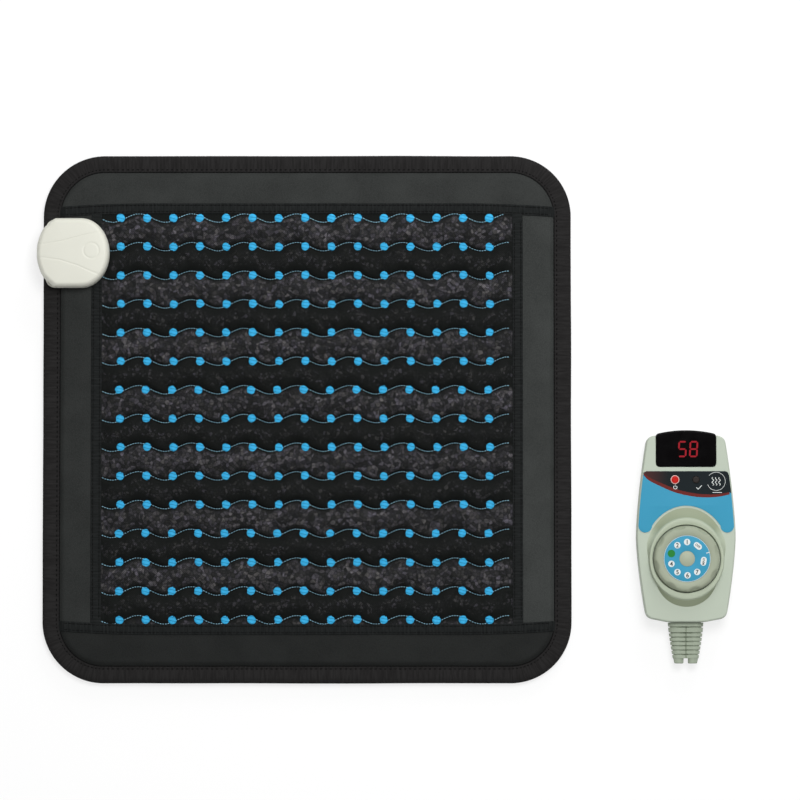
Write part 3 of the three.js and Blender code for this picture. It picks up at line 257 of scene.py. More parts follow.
def cloth(name, dark, pale, pitch):
    paint = Paint(name)
    x, y, _ = paint.split(paint.place())
    weft = x.wave(pitch * mm) * y.wave(pitch * mm)
    fuzz = paint.noise(1.4, 4.0)
    paint.looks(colour=paint.blend(0.5 * weft + 0.5 * fuzz, dark, pale), roughness=0.9, gloss=0.15)
    paint.bump(weft + fuzz, 0.12)
    return paint


def metal(name, colour, roughness):
    paint = Paint(name)
    brushed = paint.noise(1.2, 5.0)
    paint.looks(colour=colour, metal=1.0, roughness=roughness - 0.08 + 0.16 * brushed)
    paint.bump(brushed, 0.01)
    return paint


def glowing(name, colour):
    paint = Paint(name)
    glow = paint.blend(paint.noise(1.5, 2.0), shade(colour, 0.85), colour)
    paint.looks(colour=tint(30, 4, 4), glow=glow, glowStrength=1.0, roughness=0.5, gloss=0.02)
    return paint


# Moulded: colour, roughness, grain and bump in millimetres, how uneven it is, and gloss.
finishes = {
    "binding_tape": ribbedTape("binding ribs", tint(26, 25, 25), tint(49, 48, 48), 1.15),
    "leatherette": leatherette("border leatherette"),
    "inner_tape": ribbedTape("inner tape ribs", tint(14, 16, 16), tint(45, 47, 47), 1.2),
    "mesh_cloth": stoneCloth("mesh over stone"),
    "pale_stone": moulded("pale stone", tint(120, 112, 116), 0.7, 3.0, 0.4, 0.4),
    "dark_stone": moulded("dark stone", tint(58, 56, 54), 0.7, 3.0, 0.4, 0.4),
    "lining_cloth": cloth("lining cloth", tint(34, 35, 35), tint(52, 53, 53), 1.1),
    "foam": moulded("foam", tint(176, 172, 160), 0.9, 1.6, 0.3, 0.15, 0.1),
    "felt": cloth("felt", tint(112, 110, 106), tint(150, 148, 142), 2.3),
    "foil": metal("foil", tint(205, 206, 208), 0.28),
    "wire_sheath": moulded("wire sheath", tint(160, 60, 48), 0.5),
    "cream_plastic": moulded("cream plastic", tint(221, 221, 209), 0.42, 0.7, 0.006, 0.03),
    "pale_plastic": moulded("pale plastic", tint(182, 192, 176), 0.48, 0.6, 0.008, 0.04),
    "boot_rubber": moulded("boot rubber", tint(164, 174, 156), 0.62, 0.9, 0.02, 0.06, 0.2),
    "smoked_lens": moulded("smoked lens", tint(7, 6, 7), 0.07, 9.0, 0.0015, 0.2, 0.02),
    "label_film": moulded("blue film", tint(66, 154, 188), 0.4, 0.5, 0.004, 0.05, 0.04),
    "red_key": moulded("red key", tint(190, 27, 20), 0.34, 0.8, 0.006, 0.06, 0.05),
    "dark_key": moulded("dark key", tint(42, 38, 36), 0.4, 0.8, 0.006, 0.12, 0.06),
    "circuit_board": moulded("circuit board", tint(34, 92, 62), 0.45, 2.4, 0.03, 0.25),
    "black_part": moulded("black part", tint(30, 30, 31), 0.5, 0.8, 0.02, 0.15),
    "ivory_part": moulded("ivory part", tint(222, 214, 190), 0.5, 0.8, 0.02, 0.06),
    "steel": metal("steel", tint(190, 190, 192), 0.3),
}
dotThread = satinDot("blue satin thread")
rowThread = thread("pale row thread", tint(132, 190, 226), tint(190, 238, 254), 0.5, 0.6)
darkThread = thread("dark thread", tint(7, 7, 7), tint(17, 17, 17), 0.5, 0.8)
stripeFilm = moulded("red stripe", tint(104, 36, 32), 0.4, 0.6, 0.004, 0.2, 0.06)
printFilm = moulded("pale print", tint(222, 228, 226), 0.45, 0.6, 0.003, 0.03)
inkFilm = moulded("dark print", tint(34, 38, 44), 0.45, 0.6, 0.003, 0.1, 0.1)
greenFilm = moulded("green print", tint(36, 126, 50), 0.45, 0.6, 0.003, 0.06, 0.1)
ringPlastic = moulded("pale pink ring", tint(222, 178, 172), 0.4, 0.6, 0.005, 0.05, 0.35)
litSegment = glowing("lit segment", tint(164, 36, 46))
unlitSegment = moulded("unlit segment", tint(13, 7, 7), 0.5, 0.8, 0.003, 0.15, 0.01)
for part in frame["record"]["subparts"]:
    cadMesh = frame["nodes"][part["node"]].data
    cadMesh.materials.clear()
    cadMesh.materials.append(finishes[part["material_slot"]].material)
print("stage: finishes made")


# Forms: every form is a pair of points in millimetres and faces.
def ease(value):  # from 0 to 1 with a soft start and a soft end
    share = np.clip(value, 0, 1)
    return share * share * (3 - 2 * share)


def fullTurn(sides):
    return np.linspace(0, 2 * math.pi, sides, endpoint=False)


def weave(rows, columns, wrapRows=False, wrapColumns=False):
    faces = []
    for row in range(rows if wrapRows else rows - 1):
        for column in range(columns if wrapColumns else columns - 1):
            near, far = row * columns, ((row + 1) % rows) * columns
            side = (column + 1) % columns
            faces.append((near + column, near + side, far + side, far + column))
    return faces


def rimOf(rows, columns):  # the points round a grid, in order
    rim = list(range(columns)) + [row * columns + columns - 1 for row in range(1, rows)]
    rim += [(rows - 1) * columns + column for column in range(columns - 2, -1, -1)]
    return rim + [row * columns for row in range(rows - 2, 0, -1)]


def blanket(grid, floor):  # a grid of points with a straight rim and a flat underside
    rows, columns = grid.shape[:2]
    rim = rimOf(rows, columns)
    count, around = rows * columns, len(rim)
    top = grid.reshape(-1, 3)
    under = top[rim] * (1, 1, 0) + (0, 0, floor)
    faces = weave(rows, columns) + [tuple(range(count, count + around))[::-1]]
    faces += [(a, rim[(i + 1) % around], count + (i + 1) % around, count + i) for i, a in enumerate(rim)]
    return np.concatenate([top, under]), faces, rim


def gather(forms):
    points, faces, start = [], [], 0
    for formPoints, formFaces in forms:
        points.append(np.asarray(formPoints, float))
        faces += [tuple(start + index for index in face) for face in formFaces]
        start += len(formPoints)
    return np.concatenate(points), faces


def loft(rings):  # closed rings of equal count, with both ends filled
    rings = np.asarray(rings, float)
    count, around, _ = rings.shape
    faces = weave(count, around, wrapColumns=True)
    faces.append(tuple(range(around))[::-1])
    faces.append(tuple(range((count - 1) * around, count * around)))
    return rings.reshape(-1, 3), faces


def hoop(rings):  # closed rings whose last joins the first
    return np.concatenate(rings), weave(len(rings), len(rings[0]), True, True)


def lift(outline, height):
    outline = np.asarray(outline, float)
    return np.column_stack([outline, np.full(len(outline), height)])


def circle(radius, sides, x=0.0, y=0.0):
    angles = fullTurn(sides)
    return np.column_stack([x + radius * np.cos(angles), y + radius * np.sin(angles)])


def arc(radius, start, end, steps, x=0.0, y=0.0):
    angles = np.radians(np.linspace(start, end, steps))
    return np.column_stack([x + radius * np.cos(angles), y + radius * np.sin(angles)])


def polar(radius, degrees):
    return radius * math.cos(math.radians(degrees)), radius * math.sin(math.radians(degrees))


def rectangle(x0, y0, x1, y1):
    return [(x0, y0), (x1, y0), (x1, y1), (x0, y1)]


def spun(profile, sides, x=0.0, y=0.0):  # profile: radius and height
    return [lift(circle(max(radius, 0.01), sides, x, y), height) for radius, height in profile]


def lathe(profile, sides, x=0.0, y=0.0):
    return loft(spun(profile, sides, x, y))


def rod(radius, low, high, sides, x=0.0, y=0.0):
    return lathe([(0, low), (radius, low), (radius, high), (0, high)], sides, x, y)


def prism(outline, low, high):
    return loft([lift(outline, low), lift(outline, high)])


def turned(points, angle):
    x, y = points[:, 0], points[:, 1]
    cos, sin = math.cos(angle), math.sin(angle)
    return np.column_stack([x * cos - y * sin, x * sin + y * cos, points[:, 2:]])


def leftOf(run):  # unit vectors to the left of each step
    run = run / np.linalg.norm(run, axis=1)[:, None]
    return np.column_stack([-run[:, 1], run[:, 0]])


def stroke(path, width):  # outline of a line drawn with a flat pen
    path = np.asarray(path, float)
    side = leftOf(np.gradient(path, axis=0)) * width / 2
    return np.concatenate([path + side, (path - side)[::-1]])


def inward(outline, distance):  # a counterclockwise outline moved in along its normals
    return outline + leftOf(np.roll(outline, -1, 0) - np.roll(outline, 1, 0)) * distance


def rounded(outline, depth, low, high, steps):  # rings of a quarter round
    return [lift(inward(outline, depth * (1 - math.cos(angle))), low + (high - low) * math.sin(angle))
            for angle in np.linspace(0, math.pi / 2, steps + 1)[1:]]


def runOf(path):  # length up to each point
    return np.concatenate([[0], np.cumsum(np.linalg.norm(np.diff(path, axis=0), axis=1))])


def follow(path, marks, at):  # places on a path whose points have marks
    return np.column_stack([np.interp(at, marks, path[:, k]) for k in (0, 1)])


def resample(path, count):
    path = np.asarray(path, float)
    return follow(path, np.arange(len(path)), np.linspace(0, len(path) - 1, count))


def even(outline, count, smooth=0):  # a closed outline with points at even steps
    outline = np.asarray(outline, float)
    for _ in range(2):
        closed = np.concatenate([outline, outline[:1]])
        run = runOf(closed)
        outline = follow(closed, run, np.linspace(0, run[-1], count, endpoint=False))
        for _ in range(smooth):
            outline = 0.5 * outline + 0.25 * (np.roll(outline, 1, 0) + np.roll(outline, -1, 0))
    return outline


def put(name, data):
    holder = bpy.data.objects.new(name, data)
    scene.collection.objects.link(holder)
    return holder


def finished(holder):  # the mesh that its modifiers come to
    graph = bpy.context.evaluated_depsgraph_get()
    return bpy.data.meshes.new_from_object(holder.evaluated_get(graph))


def takeForm(name, curve):
    holder = put(name, curve)
    mesh = finished(holder)
    bpy.data.objects.remove(holder)
    work = bmesh.new()
    work.from_mesh(mesh)
    bmesh.ops.remove_doubles(work, verts=work.verts, dist=1e-4)
    points = np.array([vert.co[:] for vert in work.verts])
    faces = [tuple(vert.index for vert in face.verts) for face in work.faces]
    work.free()
    return points, faces


def plate(outlines, low, high, bevel=0.0):  # a flat shape; outlines after the first are holes
    curve = bpy.data.curves.new("plate", "CURVE")
    curve.dimensions = "2D"
    curve.fill_mode = "BOTH"
    curve.extrude = (high - low) / 2 - bevel
    curve.bevel_depth = bevel
    curve.bevel_resolution = 2
    curve.offset = -bevel
    for outline in outlines:
        spline = curve.splines.new("POLY")
        spline.points.add(len(outline) - 1)
        for point, (x, y) in zip(spline.points, outline):
            point.co = (x, y, 0.0, 1.0)
        spline.use_cyclic_u = True
    points, faces = takeForm("plate", curve)
    return points + (0, 0, (low + high) / 2), faces


def lettering(text, size, x, y, low, turn=0.0, bold=0.02):
    curve = bpy.data.curves.new("lettering", "FONT")
    curve.body = text
    curve.size = size
    curve.align_x = "CENTER"
    curve.align_y = "CENTER"
    curve.extrude = 0.03
    curve.offset = bold * size
    points, faces = takeForm("lettering", curve)
    middle = (points.min(0) + points.max(0)) / 2
    points = points - (middle[0], middle[1], points[:, 2].min())
    return turned(points, turn) + (x, y, low), faces


def bare(name, form):
    points, faces = form
    mesh = bpy.data.meshes.new(name)
    mesh.from_pydata((np.asarray(points) * mm).tolist(), [], faces)
    work = bmesh.new()
    work.from_mesh(mesh)
    bmesh.ops.recalc_face_normals(work, faces=work.faces)
    work.to_mesh(mesh)
    work.free()
    return mesh


def carve(mesh, cuts):  # cuts: pairs of a form and how it is joined
    holder = put("carved", mesh)
    tools = []
    for form, way in cuts:
        tool = put("cutter", bare("cutter", form))
        step = holder.modifiers.new("cut", "BOOLEAN")
        step.operation = way
        step.solver = "EXACT"
        step.object = tool
        tools.append(tool)
    result = finished(holder)
    for spare in [holder, *tools]:
        bpy.data.objects.remove(spare)
    return result


def makePiece(name, form, finish, nodes=(), slot=None, body="base", lengths=None, sharp=40, cuts=()):
    if isinstance(finish, str):  # a finish of the record, given by its slot's name
        slot, finish = finish, finishes[finish]
    mesh = bare(name, form)
    if lengths is not None:
        layer = mesh.uv_layers.new(name="lengths")
        index = np.empty(len(mesh.loops), int)
        mesh.loops.foreach_get("vertex_index", index)
        layer.data.foreach_set("uv", (np.asarray(lengths)[index] * mm).ravel())
    if cuts:
        mesh = carve(mesh, cuts)
    mesh.shade_smooth()
    mesh.set_sharp_from_angle(angle=math.radians(sharp))
    mesh.materials.append(finish.material)
    piece = put(name, mesh)
    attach(piece, body)
    if nodes:
        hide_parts(*nodes)
    return piece


def stitches(spans, radius, arch):  # a small arched thread from each span's start to its end
    shares = [0.0, 0.14, 0.5, 0.86, 1.0]
    girths = [0.45, 1.0, 1.0, 1.0, 0.45]
    angles = fullTurn(6)
    forms = []
    for start, end in spans:
        start, end = np.asarray(start, float), np.asarray(end, float)
        run = (end - start) / np.linalg.norm(end - start)
        side = np.cross((0, 0, 1), run)
        side /= np.linalg.norm(side)
        rise = np.cross(run, side)
        section = np.outer(np.cos(angles), side) + np.outer(np.sin(angles), rise)
        forms.append(loft([start + (end - start) * share + rise * arch * math.sin(math.pi * share)
                           + radius * girth * section for share, girth in zip(shares, girths)]))
    return gather(forms)


def rough(x, y, size, seed):  # smooth random value from -1 to 1
    values = [noise.noise(Vector((a / size, b / size, seed))) for a, b in np.broadcast(x, y)]
    return np.array(values).reshape(np.shape(x))


# The pad: its outline, how far in from it a point lies, and the shapes that follow it.
pad = {"half": 225.0, "corner": 52.5, "tapeLine": 179.0, "tapeHalf": 4.4, "flat": 13.35, "foot": 8.7,
       "tuck": 12.5, "hem": 13.4, "hemRun": 5.6, "border": 42.0, "fall": 0.9, "fallRun": 23.0}
padSides = {"top": (True, 1), "bottom": (True, -1), "left": (False, -1), "right": (False, 1)}


def inset(x, y):
    core = pad["half"] - pad["corner"]
    dx, dy = np.abs(x) - core, np.abs(y) - core
    return pad["corner"] - np.hypot(np.maximum(dx, 0), np.maximum(dy, 0)) - np.minimum(np.maximum(dx, dy), 0)


def edgeReach(across, depth):  # how far out the outline at that depth is, at a place along a side
    core = pad["half"] - pad["corner"]
    radius = pad["corner"] - depth
    beyond = np.maximum(np.abs(across) - core, 0)
    return core + np.sqrt(np.maximum(radius ** 2 - beyond ** 2, 0))


def borderHeight(depth):
    fall = pad["fall"] * np.clip((pad["border"] - depth) / pad["fallRun"], 0, 1) ** 1.4
    return pad["foot"] + (pad["flat"] - pad["foot"] - fall) * ease((depth - pad["hem"]) / pad["hemRun"])


def stations(step):  # centre, outward normal and length, all round the outline
    core, radius = pad["half"] - pad["corner"], pad["corner"]
    straight = int(round(2 * core / step))
    bend = int(round(radius * math.pi / 2 / step))
    rows, length = [], 0.0
    for quarter in range(4):
        turn = quarter * math.pi / 2
        cos, sin = math.cos(turn), math.sin(turn)
        for i in range(straight):
            y = -core + 2 * core * i / straight
            rows.append((core * cos - y * sin, core * sin + y * cos, cos, sin, length))
            length += 2 * core / straight
        for i in range(bend):
            angle = turn + math.pi / 2 * i / bend
            rows.append((core * (cos - sin), core * (sin + cos), math.cos(angle), math.sin(angle), length))
            length += radius * math.pi / 2 / bend
    return np.array(rows)


def beside(station, depth, height):  # points at depths in from the outline
    cx, cy, nx, ny, _ = station
    out = pad["corner"] - np.atleast_1d(depth)
    return np.column_stack([cx + out * nx, cy + out * ny, np.broadcast_to(height, out.shape)])


def sidePlace(side, along, across):
    alongX, sign = padSides[side]
    return (along, sign * across) if alongX else (sign * across, along)


def makeBinding():
    piece = {"pitch": 1.15, "rib": 0.07, "shown": 22, "sway": 0.3, "innerSway": 0.35, "thread": 0.4,
             "arch": 0.12, "threadStep": 0.2}
    stitchRowsAndShadowLine = ((12.6, 9.86, 2.0, 2.2), (15.0, 9.55, 3.0, 0.0))  # depth, height, stitch and gap; the second, unbroken row is a dark thread that paints the shadow line at the binding's inner edge
    profile = np.array([  # depth and height: over the rim, along the underside and back inside
        (14.4, 9.05), (14.7, 9.4), (14.4, 9.8), (13.9, 9.95), (13.5, 9.95), (12.9, 9.84), (12.3, 9.84),
        (11.5, 9.94), (7.6, 10.02), (5.4, 9.95), (3.2, 9.6), (1.5, 8.7), (0.45, 7.3), (0.02, 5.4), (0.2, 3.4),
        (0.9, 1.7), (2.2, 0.6), (3.8, 0.12), (6.5, 0.0), (11.2, 0.0), (15.2, 0.0), (15.5, 0.35), (15.2, 0.8),
        (11.0, 0.85), (3.6, 1.0), (1.4, 3.4), (1.4, 7.0), (3.8, 8.8), (9.0, 9.05),
    ])
    around = len(profile)
    shown = np.arange(around) < piece["shown"]
    normal = -leftOf(np.roll(profile, -1, 0) - np.roll(profile, 1, 0))
    along = stations(piece["pitch"] / 2)
    sway = rough(along[:, 4], 0, 22.0, 3.1)
    drift = rough(along[:, 4], 0, 70.0, 6.4)
    rows = []
    for i, station in enumerate(along):
        rib = piece["rib"] * draw.uniform(0.5, 1.6) * (1 if i % 2 else -1)
        moved = profile + normal * (shown * rib)[:, None]
        depth = moved[:, 0] + piece["innerSway"] * sway[i] * np.clip((moved[:, 0] - 9) / 6, 0, 1)
        depth = depth + piece["sway"] * (1 + drift[i]) * np.clip((6 - moved[:, 0]) / 6, 0, 1)
        rows.append(beside(station, depth, moved[:, 1]))
    lengths = np.column_stack([np.repeat(along[:, 4], around), np.tile(runOf(profile), len(along))])
    makePiece("bound_edge", hoop(rows), "binding_tape", ["edge_binding"], lengths=lengths, sharp=70)
    step = piece["threadStep"]
    line = stations(step)
    spans = []
    for depth, height, stitch, gap in stitchRowsAndShadowLine:
        for i in range(0, len(line), int(round((stitch + gap) / step))):
            ends = (i, (i + int(round(stitch / step))) % len(line))
            spans.append([beside(line[end], depth, height)[0] for end in ends])
    # stitches, and an unbroken dark thread that paints the shadow line along the binding's inner edge
    makePiece("edge_stitches_and_shadow_line", stitches(spans, piece["thread"], piece["arch"]), darkThread)


def makeBorder(side):
    # painted shade: each border strip's leatherette is made lighter or darker for how the light falls on its side
    piece = {"step": 2.4, "rows": 30, "shortEnd": 178.5, "thick": 0.9, "looseFrom": 16.0, "looseTo": 46.0,
             "looseRun": 6.0, "paintedShade": {"top": 0.99, "right": 1.12, "left": 0.915, "bottom": 0.70}}
    end = float(edgeReach(pad["tapeLine"], pad["tuck"])) if padSides[side][0] else piece["shortEnd"]
    u = np.linspace(-end, end, int(2 * end / piece["step"]))
    inner = pad["tapeLine"]
    outer = np.maximum(edgeReach(u, pad["tuck"]), inner + 0.05)
    across = inner + (outer - inner)[:, None] * np.linspace(0, 1, piece["rows"])
    x, y = sidePlace(side, np.repeat(u[:, None], piece["rows"], 1), across)
    depth = inset(x, y)
    loose = np.clip((depth - piece["looseFrom"]) / piece["looseRun"], 0, 1)
    loose = loose * np.clip((piece["looseTo"] - depth) / piece["looseRun"], 0, 1)
    z = borderHeight(depth) + loose * (0.22 * rough(x, y, 34, 1.7) + 0.1 * rough(x, y, 11, 4.2))
    top = np.dstack([x, y, z]).reshape(-1, 3)
    count, sheet, rim = len(top), weave(*x.shape), rimOf(*x.shape)
    faces = sheet + [tuple(count + index for index in face[::-1]) for face in sheet]
    faces += [(a, b, count + b, count + a) for a, b in zip(rim, rim[1:] + rim[:1])]
    paint = leatherette("leatherette " + side, piece["paintedShade"][side])
    points = np.concatenate([top, top - (0, 0, piece["thick"])])
    made = makePiece("border_strip_" + side, (points, faces), paint, ["border_" + side], "leatherette",
                     sharp=60)


def tapeGround(x, y):
    depth = inset(x, y)
    return np.where(depth < pad["border"] + 0.5, borderHeight(depth), pad["flat"]) + 0.12


def makeTape(side):
    piece = {"pitch": 0.6, "rib": 0.06, "height": 0.75, "bend": 2.8, "bendFrom": 130.0, "bendRun": 78.0,
             "sway": 0.25, "shortEnd": 175.2, "seam": 0.62, "seamHeight": 0.84, "stitch": 2.7,
             "stitchPitch": 3.4, "thread": 0.3, "arch": 0.16}
    section = np.array([(-1, 0.1), (-1, 0.6), (-0.9, 0.92), (-0.7, 1.0), (-0.62, 0.8), (-0.5, 1.02),
                        (-0.2, 1.1), (0.2, 1.1), (0.5, 1.02), (0.62, 0.8), (0.7, 1.0), (0.9, 0.92),
                        (1, 0.6), (1, 0.1)])
    alongX, sign = padSides[side]
    end = float(edgeReach(pad["tapeLine"], pad["tuck"] + 0.3)) if alongX else piece["shortEnd"]
    along = np.arange(-end, end + 0.01, piece["pitch"])
    line = np.full_like(along, pad["tapeLine"])
    if alongX:
        past = np.clip((np.abs(along) - piece["bendFrom"]) / piece["bendRun"], 0, 1)
        line = line - piece["bend"] * past ** 2
    line = line + piece["sway"] * rough(along, 0, 40, 2.0 + sign)
    spread = section[:, 0] * pad["tapeHalf"]
    rows = []
    for i, (u, middle) in enumerate(zip(along, line)):
        x, y = sidePlace(side, np.full_like(spread, u), middle + spread)
        rib = piece["rib"] * draw.uniform(0.4, 1.6) * (1 if i % 2 else -1) * (section[:, 1] > 0.5)
        rows.append(np.column_stack([x, y, tapeGround(x, y) + section[:, 1] * piece["height"] + rib]))
    lengths = np.column_stack([np.repeat(along, len(section)), np.tile(spread, len(along))])
    makePiece("tape_" + side, loft(rows), "inner_tape", ["inner_tape_" + side], lengths=lengths, sharp=70)
    spans = []
    for share in (-piece["seam"], piece["seam"]):
        for u in np.arange(-end + 6, end - 8, piece["stitchPitch"]):
            ends = []
            for spot in (u, u + piece["stitch"]):
                x, y = sidePlace(side, spot, np.interp(spot, along, line) + share * pad["tapeHalf"])
                ends.append((x, y, float(tapeGround(x, y)) + piece["seamHeight"] * piece["height"]))
            spans.append(ends)
    makePiece("tape_stitches_" + side, stitches(spans, piece["thread"], piece["arch"]), darkThread)


def sewnWave(x):
    lead = quilt["firstDot"] - quilt["waveLead"]
    return -quilt["waveHeight"] * np.cos(math.pi * (x - lead) / quilt["dotPitch"])


rowLines = quilt["topRow"] - quilt["pitch"] * np.arange(quilt["rows"])
dotColumns = quilt["firstDot"] + quilt["dotPitch"] * np.arange(quilt["columns"])
dotShift = [draw.uniform(-0.8, 0.8) for _ in rowLines]
dotPlaces = np.array([[(x + shift, y + draw.uniform(-0.25, 0.25)) for x in dotColumns]
                      for y, shift in zip(rowLines, dotShift)])


def quiltHeight(x, y, v):  # how full the quilt is, and how far away the nearest dot is
    near = rowLines[np.abs(v[..., None] - rowLines).argmin(-1)]
    column = np.round((x - quilt["firstDot"]) / quilt["dotPitch"]).astype(int)
    row = np.round((quilt["topRow"] - y) / quilt["pitch"]).astype(int)
    centres = dotPlaces[np.clip(row, 0, quilt["rows"] - 1), np.clip(column, 0, quilt["columns"] - 1)]
    ring = np.hypot(x - centres[..., 0], y - centres[..., 1])
    away = np.minimum(np.abs(v - near), np.maximum(ring - quilt["dotHold"], 0))
    full = (1 - (1 - np.clip(away / quilt["half"], 0, 1)) ** 2.2) ** 0.62
    ends = ease((quilt["open"] - np.abs(x)) / quilt["endRun"])
    margin = np.clip((quilt["topRow"] + 0.5 - np.abs(v)) / 0.5, 0, 1)
    return full * ends * margin, ring


def billow(grid, held, air):  # blows a held cloth up and gives the points it comes to
    rows, columns = grid.shape[:2]
    mesh = bpy.data.meshes.new("billow")
    mesh.from_pydata((grid.reshape(-1, 3) * mm).tolist(), [], weave(rows, columns))
    holder = put("billow", mesh)
    holder.vertex_groups.new(name="held").add(np.flatnonzero(held.ravel()).tolist(), 1.0, "REPLACE")
    step = holder.modifiers.new("cloth", "CLOTH")
    for key, value in air["settings"].items():
        setattr(step.settings, key, value)
    step.settings.vertex_group_mass = "held"
    step.settings.effector_weights.gravity = 0
    step.point_cache.frame_end = air["frames"]
    for number in range(1, air["frames"] + 1):
        scene.frame_set(number)
    places = np.empty(3 * rows * columns)
    finished(holder).vertices.foreach_get("co", places)
    bpy.data.objects.remove(holder)
    scene.frame_set(1)
    return places.reshape(rows, columns, 3) / mm


def quiltGrid(x, v):
    gx, gv = np.meshgrid(x, v)
    gy = gv + sewnWave(gx) * np.clip((176.5 - np.abs(gv)) / 5.7, 0, 1)
    return gx, gy, gv, *quiltHeight(gx, gy, gv)


def quiltLines(parts):
    inside = [line + quilt["pitch"] * i / parts for line in rowLines[:0:-1] for i in range(parts)]
    edge = [172.4, 174.0, 176.5, quilt["reach"]]
    return np.array([-place for place in edge[::-1]] + inside + [rowLines[0]] + edge)


def quiltColumns(step):
    return np.linspace(-quilt["reach"], quilt["reach"], int(2 * quilt["reach"] / step))


def makeQuilt():
    piece = {"step": 1.7, "coarse": 2.8, "lowered": 0.85, "capDown": 0.9, "capUp": 1.3, "floor": 12.65,
             "held": 3.6}
    air = {"frames": 16, "settings": {
        "quality": 5, "mass": 0.2, "tension_stiffness": 12, "compression_stiffness": 12, "shear_stiffness": 6,
        "bending_stiffness": 0.2, "use_pressure": True, "uniform_pressure_force": 5.0, "shrink_min": -0.06}}
    x, v = quiltColumns(piece["coarse"]), quiltLines(9)
    gx, gy, _, full, ring = quiltGrid(x, v)
    start = quilt["valley"] + quilt["rise"] * full * piece["lowered"] + 0.35 * rough(gx, gy, 7, 9.1) * full
    held = (full < 0.04) | (ring < piece["held"])
    blown = billow(np.dstack([gx, gy, start]), held, air)[..., 2] - (quilt["valley"] + quilt["rise"] * full)
    moved = np.clip(blown, -piece["capDown"], piece["capUp"]) * ~held
    print("cloth moved by", round(float(moved.min()), 2), "to", round(float(moved.max()), 2), "mm")
    fineX, fineV = quiltColumns(piece["step"]), quiltLines(14)
    part = np.array([np.interp(fineX, x, row) for row in moved])
    raised = np.array([np.interp(fineV, v, column) for column in part.T]).T
    gx, gy, gv, full, _ = quiltGrid(fineX, fineV)
    lumps = 0.42 * rough(gx, gy, 5.2, 0.3) + 0.26 * rough(gx, gy, 2.6, 5.3)
    gz = quilt["valley"] + quilt["rise"] * full + raised + full * lumps
    points, faces, rim = blanket(np.dstack([gx, gy, gz]), piece["floor"])
    lengths = np.column_stack([gx.ravel(), gv.ravel()])
    nodes = ["mesh_panel"] + ["stone_fill_%02d" % number for number in range(1, quilt["rows"])]
    made = makePiece("quilted_panel", (points, faces), "mesh_cloth", nodes,
                     lengths=np.concatenate([lengths, lengths[rim]]), sharp=80)


def makeDots():
    piece = {"threads": 12, "height": 1.15, "ridge": 0.17, "sunk": 0.1}
    share = np.linspace(-1, 1, 9)
    forms = []
    for x, y in dotPlaces.reshape(-1, 2):
        rows = []
        size = quilt["dotRadius"] * draw.uniform(0.96, 1.04)
        lean = draw.uniform(-0.12, 0.12)
        for i in range(2 * piece["threads"] + 1):
            across = size * (-1 + i / piece["threads"])
            chord = math.sqrt(max(size ** 2 - across ** 2, 0.05)) + draw.uniform(-0.12, 0.12)
            spot = chord * np.sin(share * math.pi / 2)
            dome = np.sqrt(np.clip(1 - (spot ** 2 + across ** 2) / (1.06 * size ** 2), 0, 1))
            ridge = piece["ridge"] * (i % 2) * (1 - np.abs(share) ** 4)
            rows.append(np.column_stack([x + spot, y + across + lean * spot,
                                         quilt["valley"] + piece["sunk"] + piece["height"] * dome + ridge]))
        forms.append(blanket(np.array(rows), quilt["valley"] - piece["sunk"])[:2])
    makePiece("stitched_dots", gather(forms), dotThread, sharp=75)


def makeThreads():
    piece = {"stitch": 1.4, "gap": 0.75, "radius": 0.28, "arch": 0.25, "above": 0.25, "waver": 0.12}
    spans = []
    for line, dots in zip(rowLines, dotPlaces):
        x = -quilt["open"] + 1.0
        while x < quilt["open"] - 3.0:
            end = x + piece["stitch"]
            middle = (x + end) / 2
            if np.hypot(*(dots - (middle, line + sewnWave(middle))).T).min() > quilt["dotRadius"] - 0.6:
                spans.append([(at, line + float(sewnWave(at)) + draw.uniform(-piece["waver"], piece["waver"]),
                               quilt["valley"] + piece["above"]) for at in (x, end)])
            x = end + piece["gap"]
    makePiece("row_threads", stitches(spans, piece["radius"], piece["arch"]), rowThread)


def makeBack():
    piece = {"low": 0.25, "high": 2.0, "margin": 14.6, "gap": 0.4}
    outline = [beside(station, piece["margin"], 0)[0, :2] for station in stations(4.0)]
    low, high = np.array(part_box("box_backing_plate")) / mm
    hole = even(rectangle(*(low[:2] - piece["gap"]), *(high[:2] + piece["gap"])), 80, 3)
    makePiece("back_cloth", plate([outline, hole], piece["low"], piece["high"], 0.3), "leatherette",
              ["back_cover"], sharp=50)


makeBinding()
for side in padSides:
    makeBorder(side)
    makeTape(side)
makeQuilt()
makeDots()
makeThreads()
makeBack()
print("stage: pad made")


# The lead box on the pad's upper left edge.
glandLow, glandHigh = np.array(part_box("cord_gland")) / mm
boxX, boxY = -196.25, (glandLow[1] + glandHigh[1]) / 2
domeX = 4.9  # where the round end's middle lies


